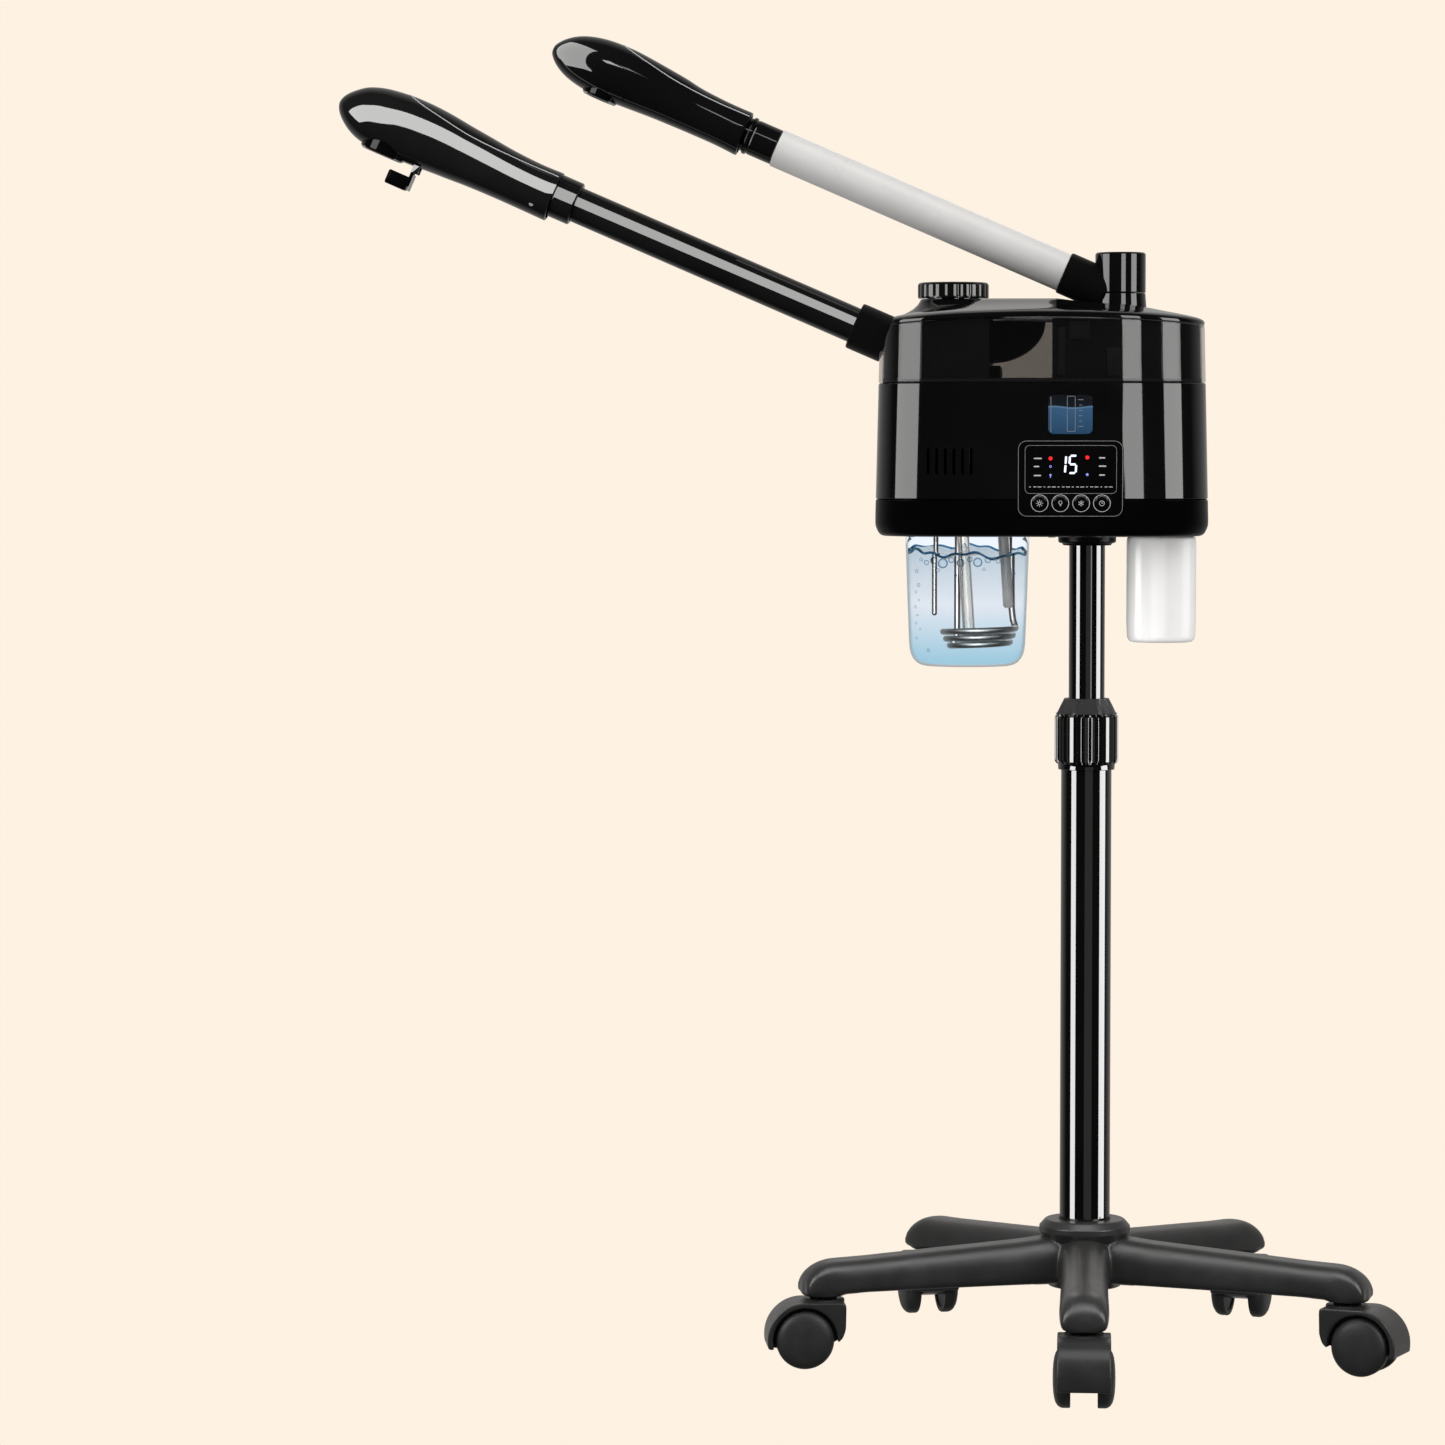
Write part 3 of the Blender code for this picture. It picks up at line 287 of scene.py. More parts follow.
# water_edge is a dark blue sheet of painted shade along the waterline, where the water itself has no such
# colour.
clear("water_edge", (0.05, 0.20, 0.38), 1.08)
clear("clear_tube", (0.93, 0.90, 0.86), 1.35, 0.05)
rimmed("jar_glass", 1.02, (0.97, 0.99, 1.0), (0.36, 0.60, 0.72), 0.70, 0.97)
# The bubbles' dark blue rims are painted shade, standing in for the light a bubble bends away at its edge.
rimmed("bubble", 1.01, (0.90, 0.96, 1.0), (0.03, 0.13, 0.26), 0.18, 0.62)
water_material()
window_material()
board_material()

# ---------------------------------------------------------------- mesh building


def shade(mesh, sharp=32.0):
    mesh.polygons.foreach_set("use_smooth", [True] * len(mesh.polygons))
    mesh.set_sharp_from_angle(angle=math.radians(sharp))


def mesh_of(name, points, faces, sharp=32.0):
    mesh = bpy.data.meshes.new(name)
    mesh.from_pydata([[value * MM for value in point] for point in points], [], faces)
    tidy = bmesh.new()
    tidy.from_mesh(mesh)
    bmesh.ops.recalc_face_normals(tidy, faces=tidy.faces)
    tidy.to_mesh(mesh)
    tidy.free()
    shade(mesh, sharp)
    return mesh


def fillet(points, radius, steps=3, closed=False):
    """The corners of a line of points rounded, with a point beside each bend so that flats stay flat."""
    count = len(points)
    result = []
    for i, point in enumerate(points):
        here, before, after = (Vector(p) for p in (point, points[i - 1], points[(i + 1) % count]))
        ends = not closed and i in (0, count - 1)
        if ends or (here - before).angle(after - here, 0.0) < 0.18:
            result.append(tuple(point))
            continue
        back, on = (before - here).normalized(), (after - here).normalized()
        a = here + back * min(radius, 0.45 * (before - here).length)
        b = here + on * min(radius, 0.45 * (after - here).length)
        if (a - before).length > radius:
            result.append(tuple(a + back * radius * 0.35))
        for step in range(steps + 1):
            t = step / steps
            result.append(tuple(a * (1 - t) ** 2 + here * (2 * t * (1 - t)) + b * t ** 2))
        if (b - after).length > radius:
            result.append(tuple(b + on * radius * 0.35))
    return result


def lofted(name, rings, closed=False, sharp=32.0):
    count = len(rings[0])
    points = [point for ring in rings for point in ring]
    faces = []
    for level in range(len(rings) if closed else len(rings) - 1):
        low = level * count
        high = ((level + 1) % len(rings)) * count
        faces += [(low + i, low + (i + 1) % count, high + (i + 1) % count, high + i) for i in range(count)]
    if not closed:
        faces.append(tuple(reversed(range(count))))
        faces.append(tuple((len(rings) - 1) * count + i for i in range(count)))
    return mesh_of(name, points, faces, sharp)


def circle(radius, height, steps=128):
    turns = [math.tau * i / steps for i in range(steps)]
    return [(radius * math.cos(turn), radius * math.sin(turn), height) for turn in turns]


def lathe(name, profile, steps=96, closed=False, sharp=32.0, round_by=0.0, shape=None):
    """A profile of (radius, height) turned about Z; shape changes the radius by angle and height."""
    if round_by:
        profile = fillet(profile, round_by, closed=closed)
    on_axis = not closed and profile[0][0] == 0 and profile[-1][0] == 0
    rings = []
    for radius, height in profile[1:-1] if on_axis else profile:
        ring = []
        for i in range(steps):
            angle = math.tau * i / steps
            r = shape(radius, height, angle) if shape else radius
            ring.append((r * math.cos(angle), r * math.sin(angle), height))
        rings.append(ring)
    if not on_axis:
        return lofted(name, rings, closed, sharp)
    points = [(0, 0, profile[0][1])] + [p for ring in rings for p in ring] + [(0, 0, profile[-1][1])]
    faces = []
    for i in range(steps):
        j = (i + 1) % steps
        faces.append((0, 1 + i, 1 + j))
        for a in range(1, 1 + (len(rings) - 1) * steps, steps):
            faces.append((a + i, a + steps + i, a + steps + j, a + j))
        a = 1 + (len(rings) - 1) * steps
        faces.append((a + i, len(points) - 1, a + j))
    return mesh_of(name, points, faces, sharp)


def rod(name, radius, z0, z1, steps):
    return lathe(name, [(0, z0), (radius, z0), (radius, z1), (0, z1)], steps)


def pipe(name, outer, inner, z0, z1, edge, steps=96):
    return lathe(name, [(inner, z0), (outer, z0), (outer, z1), (inner, z1)], steps, closed=True,
                 round_by=edge)


def rounded_rect(width, height, radius, steps=6):
    points = []
    for quarter, (sx, sz) in enumerate(((1, 1), (-1, 1), (-1, -1), (1, -1))):
        for step in range(steps + 1):
            angle = math.radians(90 * quarter + 90 * step / steps)
            points.append((sx * (width / 2 - radius) + radius * math.cos(angle),
                           sz * (height / 2 - radius) + radius * math.sin(angle)))
    return points


def slab(name, outline, y0, y1):
    """An outline across X and Z given a thickness along Y."""
    return lofted(name, [[(x, y, z) for x, z in outline] for y in (y0, y1)])


def nested(name, width, height, radius, levels, closed=False):
    """Round-cornered rectangles joined in turn, one for each (inset, y) level."""
    rings = []
    for inset, y in levels:
        outline = rounded_rect(width - 2 * inset, height - 2 * inset, radius - inset)
        rings.append([(x, y, z) for x, z in outline])
    return lofted(name, rings, closed)


def plate(name, width, height, radius, y0, y1, edge=0.4):
    """A plate facing -Y with round corners, its front edge at y0 softened."""
    return nested(name, width, height, radius, [(edge, y0), (edge * 0.3, y0 + edge * 0.35), (0, y0 + edge),
                                                (0, y1)])


def outline_band(name, width, height, radius, thick, y0, y1):
    """A raised line that follows a round-cornered rectangle."""
    return nested(name, width, height, radius, [(0, y1), (0, y0), (thick, y0), (thick, y1)], closed=True)


def placed(part):
    """A part is a mesh or a (mesh, placing) pair."""
    return part if isinstance(part, tuple) else (part, Matrix())


def joined(name, parts, sharp=32.0):
    """Several parts as one mesh."""
    whole = bmesh.new()
    for mesh, placing in map(placed, parts):
        copy = mesh.copy()
        copy.transform(placing)
        whole.from_mesh(copy)
        bpy.data.meshes.remove(copy)
    mesh = bpy.data.meshes.new(name)
    whole.to_mesh(mesh)
    whole.free()
    shade(mesh, sharp)
    return mesh


def in_scene(name, data, placing=None):
    obj = bpy.data.objects.new(name, data)
    bpy.context.scene.collection.objects.link(obj)
    if placing is not None:
        obj.matrix_world = placing
    return obj


def evaluated(obj):
    bpy.context.view_layer.update()
    graph = bpy.context.evaluated_depsgraph_get()
    mesh = bpy.data.meshes.new_from_object(obj.evaluated_get(graph))
    bpy.data.objects.remove(obj)
    return mesh


def changed(mesh, *modifiers, sharp=32.0):
    """The mesh with these modifiers, each a (type, settings) pair, applied in order."""
    obj = in_scene("work", mesh)
    for kind, settings in modifiers:
        modifier = obj.modifiers.new(kind.lower(), kind)
        for key, value in settings.items():
            setattr(modifier, key, value)
    result = evaluated(obj)
    result.name = mesh.name
    shade(result, sharp)
    return result


def cut(mesh, *cutters, operation="DIFFERENCE", sharp=32.0):
    """The mesh less (or joined with) each cutter."""
    objects = [in_scene("cutter", cutter, placing) for cutter, placing in map(placed, cutters)]
    modifiers = [("BOOLEAN", {"object": obj, "operation": operation, "solver": "EXACT"}) for obj in objects]
    result = changed(mesh, *modifiers, sharp=sharp)
    for obj in objects:
        bpy.data.objects.remove(obj)
    return result


def block(name, x0, x1, y0, y1, z0, z1, bevel=0.0, segments=2):
    mesh = lofted(name, [[(x0, y0, z), (x1, y0, z), (x1, y1, z), (x0, y1, z)] for z in (z0, z1)])
    if not bevel:
        return mesh
    return changed(mesh, ("BEVEL", {"width": bevel * MM, "segments": segments}))


def melted(name, parts, voxel, smooth_steps, keep=1.0):
    """Overlapping parts made one skin with soft joins."""
    steps = [("REMESH", {"mode": "VOXEL", "voxel_size": voxel * MM, "use_smooth_shade": True}),
             ("SMOOTH", {"factor": 0.5, "iterations": smooth_steps})]
    if keep < 1.0:
        steps.append(("DECIMATE", {"ratio": keep}))
    return changed(joined(name, parts), *steps, sharp=80.0)


def swept(name, route, radius, sides=16):
    """A round tube along a line of points."""
    curve = bpy.data.curves.new(name, "CURVE")
    curve.dimensions = "3D"
    line = curve.splines.new("POLY")
    line.points.add(len(route) - 1)
    for point, place in zip(line.points, route):
        point.co = (*(value * MM for value in place), 1.0)
    curve.bevel_depth = radius * MM
    curve.bevel_resolution = sides // 4
    curve.use_fill_caps = True
    mesh = evaluated(in_scene(name, curve))
    shade(mesh, 50.0)
    return mesh


PIECES = []
SLOT_OF = {
    "coil_steel": "steel", "cone_black": "black_satin", "clear_tube": "milky_plastic",
    **dict.fromkeys(("sheath_grey", "line_grey", "silver_plastic"), "grey_plastic"),
    **dict.fromkeys(("water", "bubble", "water_edge"), "jar_glass"),
    **dict.fromkeys(("sleeve_black", "cell_grey", "label_white", "arm_gloss", "digit_glow", "red_glow",
                     "blue_glow"),
                    "black_gloss")}


def put(name, mesh, material, body, node=None, at=None):
    """A visible piece that moves with a CAD body and may stand for a node, placed from the pole's foot."""
    mesh.materials.clear()
    mesh.materials.append(MAT[material])
    obj = in_scene(name, mesh, HOME if at is None else HOME @ at)
    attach(obj, body)
    if node:
        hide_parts(node)
    PIECES.append(obj)


# ---------------------------------------------------------------- base and column

ARM_ANGLES = {"front": 270, "right": 342, "back_right": 54, "back_left": 126, "left": 198}
STEM_OUT = 235.5
ARM_TIP = 254
TIP_CURVE = 31


def arm_section(x, half, low, high, steps=28):
    """A section of an arm across Y and Z: flat below, arched above."""
    ring = []
    middle = low + (high - low) * 0.42
    for i in range(steps):
        c, s = math.cos(math.tau * i / steps), math.sin(math.tau * i / steps)
        wide, tall, reach = (0.80, 0.82, high - middle) if s > 0 else (0.45, 0.40, middle - low)
        ring.append((x, half * math.copysign(abs(c) ** wide, c), middle
                     + reach * math.copysign(abs(s) ** tall, s)))
    return ring


def base_arm():
    stations = ((10, 21.5, 64, 108.5), (30, 21.5, 64, 106.2), (60, 20.6, 64, 103), (100, 20.2, 63.8, 100.3),
                (150, 20.2, 63.6, 97), (200, 20.6, 63.4, 93.5))
    rings = [arm_section(*station) for station in stations]
    for step in range(12):
        turn = math.radians(90 - 90 * step / 11)
        rise = math.sin(turn)
        x = ARM_TIP - TIP_CURVE + TIP_CURVE * math.cos(turn)
        rings.append(arm_section(x, 20.8 * (0.80 + 0.20 * rise ** 0.6), 62.4, 71 + 21.5 * rise))
    return lofted("base_arm", rings)


def arm_hollow():
    rings = []
    for x, half, high in ((48, 16, 93), (130, 16.2, 89), (208, 16, 84)):
        side = [(half, 50), (half, high - 8), (half * 0.6, high)]
        rings.append([(x, y, z) for y, z in [(-half, 50)] + side + [(-half * 0.6, high), (-half, high - 8)]])
    return lofted("hollow", rings)


def make_base():
    hub = lathe("hub", [(0, 106), (34, 106), (33.5, 95), (32.5, 85), (32, 60), (0, 60)], 64)
    arm, hollow = base_arm(), arm_hollow()
    boss = lathe("boss", [(0, 72), (19.2, 72), (19.4, 63), (18.2, 61), (0, 61)], 48)
    parts = [hub]
    cuts = [rod("bore", 22.1, 78, 130, 64)]
    for angle in ARM_ANGLES.values():
        parts += [(arm, turned(angle)), (boss, turned(angle) @ moved(STEM_OUT))]
        cuts.append((hollow, turned(angle)))
    skin = cut(melted("star_base", parts, 1.6, 12), joined("base_cuts", cuts), sharp=60.0)
    put("base_star", skin, "base_nylon", "base", "star_base")
    collar = [(22.3, 98), (32.8, 98), (33.6, 100), (39.4, 108.5), (39.4, 113.2), (35, 118.2), (33.6, 119.2),
              (22.3, 119.2)]
    put("base_hub_collar", lathe("hub_collar", collar, 128, closed=True, round_by=0.6, sharp=24.0),
        "base_nylon", "base")


def make_column():
    for name, outer, inner, body in (("lower_pole", 21.8, 19.6, "base"),
                                     ("upper_pole", 15.5, 13.5, "column")):
        put(f"column_{name}", pipe("pole", outer, inner, *heights(name), 0.6, 128), "pole_black", body, name)
    make_clamp()
    low, high = heights("mount_flange")
    profile = [(15.8, low), (20.5, low), (21.8, low + 1.8), (24, low + 2.2), (25, low + 3.4), (25, high),
               (6, high),
               (6, high - 2.9), (15.8, high - 2.9)]
    put("cabinet_flange", lathe("flange", profile, closed=True, round_by=0.5), "black_satin", "cabinet",
        "mount_flange")


RIBS = 26
RIB_DEPTH = 1.9
FACET = math.pi / 8


def make_clamp():
    """The ribbed collar and the eight-sided cone on it."""
    low = heights("clamp_collar")[0]

    def ribbed(radius, height, angle):
        z = height - low
        if radius < 27 or z > 47.81:
            return radius
        fade = max(0.0, min(1.0, (z - 5.2) / 2.2, (47.8 - z) / 2.2))
        away = abs((angle * RIBS / math.tau) % 1.0 - 0.5)
        groove = max(0.0, (away - 0.30) / 0.20) ** 0.8
        return radius - RIB_DEPTH * max(groove, 1 - math.sqrt(fade))

    def faceted(radius, height, angle):
        z = height - low
        if radius < 20 or not 48.5 <= z < 61.2:
            return radius
        facet = math.cos(FACET) / math.cos((angle + FACET) % (2 * FACET) - FACET)
        blend = min(1.0, (z - 48.5) / 1.2)
        return radius * (1 - blend + blend * facet * 1.035)

    profile = [(22.6, 0), (24, 0), (24.4, 0.4), (24.7, 4.4), (25, 5)]
    profile += [(27.5, 5.3 + 42.5 * i / 22) for i in range(23)]
    profile += [(26.8, 48.4), (22.6, 48.4)]
    cone = [(22.8, 48.4), (26.6, 48.5), (26.2, 49.6), (23.4, 55.2), (20.4, 60.7), (19.8, 61.3), (19, 61.7),
            (16, 61.7),
            (16, 45), (22.8, 45)]
    profile, cone = ([(r, low + z) for r, z in line] for line in (profile, cone))
    # The cone's lighter colour is painted light standing in for the light on its facets.
    put("column_clamp_cone", lathe("cone", cone, closed=True, shape=faceted, sharp=24.0), "cone_black",
        "clamp")
    put("column_clamp", lathe("clamp", profile, RIBS * 12, closed=True, shape=ribbed, sharp=26.0),
        "pole_black",
        "clamp", "clamp_collar")


# ---------------------------------------------------------------- casters

AXLE = 25
TRAIL = 17
HOOD_RADIUS = 32.5
SIDEWAYS = moved(-TRAIL, 0, AXLE) @ turned(90, "X")


def hood_mesh():
    outline = []
    for step in range(28):
        angle = math.radians(193 - 111 * step / 27)
        outline.append((-TRAIL + HOOD_RADIUS * math.cos(angle), AXLE + HOOD_RADIUS * math.sin(angle)))
    outline += fillet([(-6, 57.2), (17.2, 57), (18.3, 54), (17.8, 34), (15, 26.2), (8.5, 21.3), (-10, 16.8),
                       (-30, 16.5)], 3)
    neck = lathe("neck", [(0, 58.8), (17.6, 58.8), (18.3, 58), (18.3, 50), (0, 50)], 64)
    pockets = [(rod("pocket", 28, z0, z1, 72), SIDEWAYS) for z0, z1 in ((10.5, 40), (-40, -10.5))]
    return melted("hood", [cut(slab("blank", outline, -22.2, 22.2), *pockets), neck], 0.8, 4, keep=0.5)


def wheel_mesh():
    profile = [(0, 25.8), (6, 25.7), (12, 25.3), (17, 24.5), (20.5, 23.4), (23, 21.7), (24.4, 19.8),
               (25, 17.8),
               (25, 12.2), (24.4, 11.2), (20.5, 11.2), (19.5, 12.5), (7.5, 12.5), (6.8, 11.2), (3.4, 11.2),
               (3.4, 24),
               (0, 24)]
    return lathe("wheel", profile, 72, sharp=40.0)


def stem_mesh():
    """The stem, the ring of small pegs that it turns on, and the axle."""
    parts = [lathe("stem", [(0, 78), (5, 78), (5.5, 77), (5.5, 56), (0, 56)], 32),
             lathe("riser", [(0, 59.9), (6.2, 59.9), (7.2, 58.5), (0, 58.5)], 32)]
    peg = lathe("peg", [(0, 60.6), (1.3, 60.6), (1.7, 60.1), (1.7, 58), (0, 58)], 12)
    parts += [(peg, turned(36 * i + 18) @ moved(10.2) @ turned(-36 * i - 18)) for i in range(10)]
    parts.append((rod("axle", 2.8, -23.6, 23.6, 20), SIDEWAYS))
    return joined("stem", parts)


def make_casters():
    hood, wheel, stem = hood_mesh(), wheel_mesh(), stem_mesh()
    for name, angle in ARM_ANGLES.items():
        foot = (turned(angle) @ moved(STEM_OUT)).translation / MM
        roll = joint_at(f"roll_{name}_a") - foot
        at = moved(foot.x, foot.y) @ turned(math.degrees(math.atan2(roll.y, roll.x)) - 180)
        body = f"caster_{name}"
        put(f"{body}_hood", hood.copy(), "base_nylon", body, body, at=at)
        put(f"{body}_stem", stem.copy(), "black_satin", body, at=at)
        for tag, turn in (("a", -90), ("b", 90)):
            put(f"{body}_wheel_{tag}", wheel.copy(), "wheel_nylon", f"roller_{name}_{tag}",
                f"wheel_{name}_{tag}",
                at=at @ moved(-TRAIL, 0, AXLE) @ turned(turn, "X"))


# ---------------------------------------------------------------- cabinet


def plan(inset, height, centre=BODY_X, half_x=None, spans=8, corner_steps=16):
    """The cabinet's outline at a height: round corners, and points between them along front and back."""
    taper = TAPER * (height - TRAY_BOTTOM) / (DECK_TOP - TRAY_BOTTOM)
    hx = (half_x or BODY_HALF_X - taper) - inset
    hy = BODY_HALF_Y - inset
    rx, ry = max(CORNER_X - inset, 12), max(CORNER_Y - inset, 12)
    points = []
    for quarter, (sx, sy) in enumerate(((1, 1), (-1, 1), (-1, -1), (1, -1))):
        for step in range(corner_steps + 1):
            angle = math.radians(90 * quarter + 90 * step / corner_steps)
            points.append((centre + sx * (hx - rx) + rx * math.cos(angle), sy * (hy - ry)
                           + ry * math.sin(angle), height))
        if quarter in (0, 2):
            points += [(centre + sx * (hx - rx) * (1 - 2 * step / spans), sy * hy, height)
                       for step in range(1, spans)]
    return points


def crowned(inset, height, **pocket):
    """The outline arched like the deck: highest in the middle, lower at both ends."""
    return [(x, y, z + CROWN * (1 - ((x - BODY_X) / BODY_HALF_X) ** 2)) for x, y,
            z in plan(inset, height, **pocket)]


def corner_cutter():
    """The block beyond the plane that the hot arm's sleeve turns against."""
    return block("corner", -80, 80, -150, 150, 0.1, 100), HOT


def seat_for(node, radius):
    """The shallow seat in the front that a plate lies in."""
    middle, size = box_of(node)
    return plate("seat", size.x + 0.6, size.z + 0.6, radius, -10, 1.9, 0.1), moved(middle.x, FRONT, middle.z)


def key_holes(radius, steps, place):
    hole = rod("key_hole", radius, -20, 20, steps)
    middles = [box_of(f"button_{number}")[0] for number in range(1, 5)]
    return [(hole, place @ moved(key.x, 0, key.z) @ turned(-90, "X")) for key in middles]


def screw_head(profile, reach, low, high):
    """A round head with a cross cut in it."""
    slot = block("slot", -reach, reach, -0.4, 0.4, low, high)
    return cut(lathe("screw", profile, 24), slot, (slot, turned(90)))


def make_tray():
    low, top = TRAY_BOTTOM, LOWER_SEAM - GAP
    outer = fillet([(14, low), (4.5, low + 0.4), (0.2, low + 8.5), (0, low + 15)], 4.5, 5)
    outer += [(0, top - 0.9), (0.7, top - 0.2), (1, top), (WALL, top), (WALL, low + 8), (6.5, low + 3)]
    jar, cup = box_of("jar_glass")[0], box_of("cold_cup")[0]
    holes = [(rod("jar_hole", 51, 700, 730, 96), moved(jar.x, jar.y)),
             (rod("cup_hole", 27, 700, 730, 72), moved(cup.x, cup.y)), seat_for("panel_fascia", 8)]
    mesh = cut(lofted("tray", [plan(inset, z) for inset, z in outer], sharp=40.0), *holes, sharp=40.0)
    put("cabinet_tray", mesh, "black_satin", "cabinet", "bottom_tray")
    screw = screw_head([(0, low - 0.6), (3, low - 0.6), (3.4, low - 0.1), (3.4, low + 2), (0, low + 2)], 2.2,
                       low - 2, low)
    places = [(x, side * y) for x, y in ((-150, 55), (70, 55), (-30, 78)) for side in (1, -1)]
    put("cabinet_tray_screws", joined("screws", [(screw, moved(x, y)) for x, y in places]), "steel",
        "cabinet")


def make_housing():
    low, high = LOWER_SEAM, UPPER_SEAM - GAP
    profile = [(0.9, low), (0.6, low + 0.2), (0, low + 0.9), (0, high - 0.9), (0.6, high - 0.2), (0.9, high),
               (WALL, high), (WALL, low)]
    mesh = lofted("housing", [plan(inset, z) for inset, z in profile], closed=True)
    slot = slab("slot", rounded_rect(2.4, 22, 1.15, 4), -120, -60)
    slots = [(slot, moved(-134.5 + 7.3 * number, 0, 777)) for number in range(6)]
    socket = box_of("power_inlet")[0]
    slots.append((block("inlet", -15.3, 15.3, 90, 120, -12.8, 12.8), moved(socket.x, 0, socket.z)))
    mesh = cut(mesh, seat_for("panel_fascia", 8), seat_for("level_window", 5),
               *key_holes(6.8, 32, moved(0, FRONT)),
               joined("slots", slots))
    put("cabinet_housing", mesh, "black_gloss", "cabinet", "main_housing")
    make_back(socket)


def make_back(socket):
    """The socket's frame and pins, a rating plate left blank, and screws and fins on the back."""
    turn = turned(180)
    put("socket_frame", outline_band("socket_frame", 30, 25, 3, 3.2, -1.5, 10), "black_satin", "cabinet",
        at=moved(socket.x, BACK, socket.z) @ turn)
    pins = [(plate("pin", 2, 4.5, 0.5, -2, 14, 0.3), moved(x, 0, z)) for x, z in ((-7, 0), (7, 0), (0, 4))]
    put("socket_pins", joined("pins", pins), "steel", "cabinet",
        at=moved(socket.x, BACK - 2, socket.z) @ turn)
    put("blank_rating_plate", plate("plate", 42, 24, 1.5, -0.4, 0.6, 0.2), "silver_plastic", "cabinet",
        at=moved(0, BACK, 787.5) @ turn)
    head = screw_head([(0, 1.2), (2.6, 1), (3.4, 0.2), (3.4, -1), (0, -1)], 2, 0.6, 3)
    screws = [(head, moved(x, BACK, z) @ turned(-90, "X")) for x in (-105, 26) for z in (764, 830)]
    put("cabinet_back_screws", joined("screws", screws), "steel", "cabinet")
    fin = slab("fin", rounded_rect(50, 2.2, 1, 4), -0.6, 1.2)
    fins = [(fin, moved(-38, BACK, 808 + 3.6 * number)) for number in range(9)]
    put("cabinet_back_fins", joined("fins", fins), "black_satin", "cabinet")


def make_tank():
    low, seam = UPPER_SEAM, DECK_SEAM - GAP
    rings = [plan(0.9, low), plan(0.6, low + 0.2), plan(0, low + 0.9), plan(0, low + 20),
             crowned(0, seam - 0.8),
             crowned(0.7, seam), crowned(2.8, seam), crowned(3, seam - 1), plan(3, low + 20),
             plan(3, low + 3),
             plan(6, low + 2.5)]
    put("cabinet_tank", cut(lofted("tank", rings), corner_cutter()), "smoke_plastic", "cabinet", "water_tank")
    make_tank_inside()


def make_tank_inside():
    """The opaque cells that stand inside the smoke-clear tank, with one clear shaft between them."""
    core = lofted("core", [plan(3.4, 844.2), plan(3.4, 847.4), plan(4.2, 847.6), plan(4.2, 864),
                           crowned(4.2, 891.5)])
    spaces = [block("space", x0, x1, -120, 120, 847.5, 910) for x0, x1 in ((-83.5, -30), (-190, -174.5))]
    put("tank_cells", cut(core, *spaces, corner_cutter()), "cell_grey", "cabinet")
    curve = [(47.5 * math.sin(math.radians(a)), -35.5 * math.cos(math.radians(a))) for a in range(6, 90, 6)]
    bowl = lathe("bowl", [(0, -35.5)] + curve + [(47.5, 0), (0, 0)], 64)
    put("tank_filler_bowl", bowl, "black_satin", "cabinet", at=moved(-84, -5, 896.8))
    step = block("step", -83.6, -74.5, -60, 60, 847.5, 858.5, 0.8)
    put("tank_step", step, "black_satin", "cabinet")
    ribs = [block("rib", x0, x1, -99, -97.5, z0, z1, 0.4)
            for x0, x1, z0, z1 in ((-15.8, 1.6, 880.5, 895), (16.2, 34.5, 849.4, 873.1),
                                   (-25, -19, 850, 890))]
    put("tank_ribs", joined("ribs", ribs), "grey_plastic", "cabinet")


def make_deck():
    shoulder = [(0.6, DECK_SEAM), (0, DECK_SEAM + 0.6), (0, 894.6), (0.3, 895.6), (1.2, 896.6), (3, 897.5),
                (6, 898.4),
                (12, 899.4), (20, 900.5), (32, 902), (45, 903.8), (60, 906), (74, 908.8)]
    rings = [plan(50, 901, **POCKET), crowned(7, DECK_SEAM + 2.5, **POCKET), crowned(3, DECK_SEAM, **POCKET)]
    rings += [crowned(inset, height) for inset, height in shoulder]
    rings.append(plan(84, DECK_TOP + CROWN * 0.93 + 2.4))
    joint = joint_at("cold_post_turn")
    lid = sum(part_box("tank_cap"), Vector()) / 2 - FOOT
    post = Matrix.Translation(((Vector(JOINTS["cold_post_turn"]["pos_m"]) - FOOT).x, 0, 0))
    cap = Matrix.Translation((lid.x, lid.y, 0))
    dish = lathe("dish", [(0, 930), (62, 930), (62, 918.5), (22.5, 905.5), (0, 905.5)])
    mesh = cut(lofted("deck", rings, sharp=40.0), corner_cutter(), (dish, post), sharp=40.0)
    top = joint.z - GAP
    boss = lathe("boss", [(0, top), (21.55, top), (22.6, 906.2), (23.6, 904.5), (23.6, 902), (0, 902)],
                 round_by=0.6)
    neck = lathe("neck", [(0, 916.4), (27.8, 916.4), (28.6, 915.6), (29, 914.5), (31, 911.5), (34.5, 908.3),
                          (39, 905.5),
                          (44.5, 903), (44.5, 899), (0, 899)])
    mesh = cut(mesh, (boss, post), (neck, cap), operation="UNION", sharp=40.0)
    mesh = cut(mesh, (rod("bore", 23, 880, 950, 72), cap), (rod("riser", 12, 880, 950, 48), post), sharp=40.0)
    put("cabinet_deck", mesh, "black_gloss", "cabinet", "top_deck")
    make_cap(cap)


LOBES = 18


def make_cap(at):
    def scalloped(radius, height, angle):
        if radius < 29.5 or not 917.2 < height < 930:
            return radius
        return radius - 0.8 * (1 - abs(math.sin(LOBES * angle / 2)) ** 0.5)
    profile = [(0, 930.6), (20, 930.6), (21, 930.9), (28, 930.9), (29.6, 930.4), (30.5, 929.2)]
    profile += [(30.8, 928.5 - i) for i in range(11)]
    profile += [(30, 917.2), (24, 917.2), (22.2, 917), (22, 908), (0, 908)]
    put("tank_cap_lobed", lathe("cap", profile, LOBES * 10, shape=scalloped, sharp=40.0), "arm_gloss", "cap",
        "tank_cap",
        at)


# ---------------------------------------------------------------- front panel


def dash(width, height):
    return slab("dash", rounded_rect(width, height, min(width, height) * 0.45, 3), -0.12, 0.4)


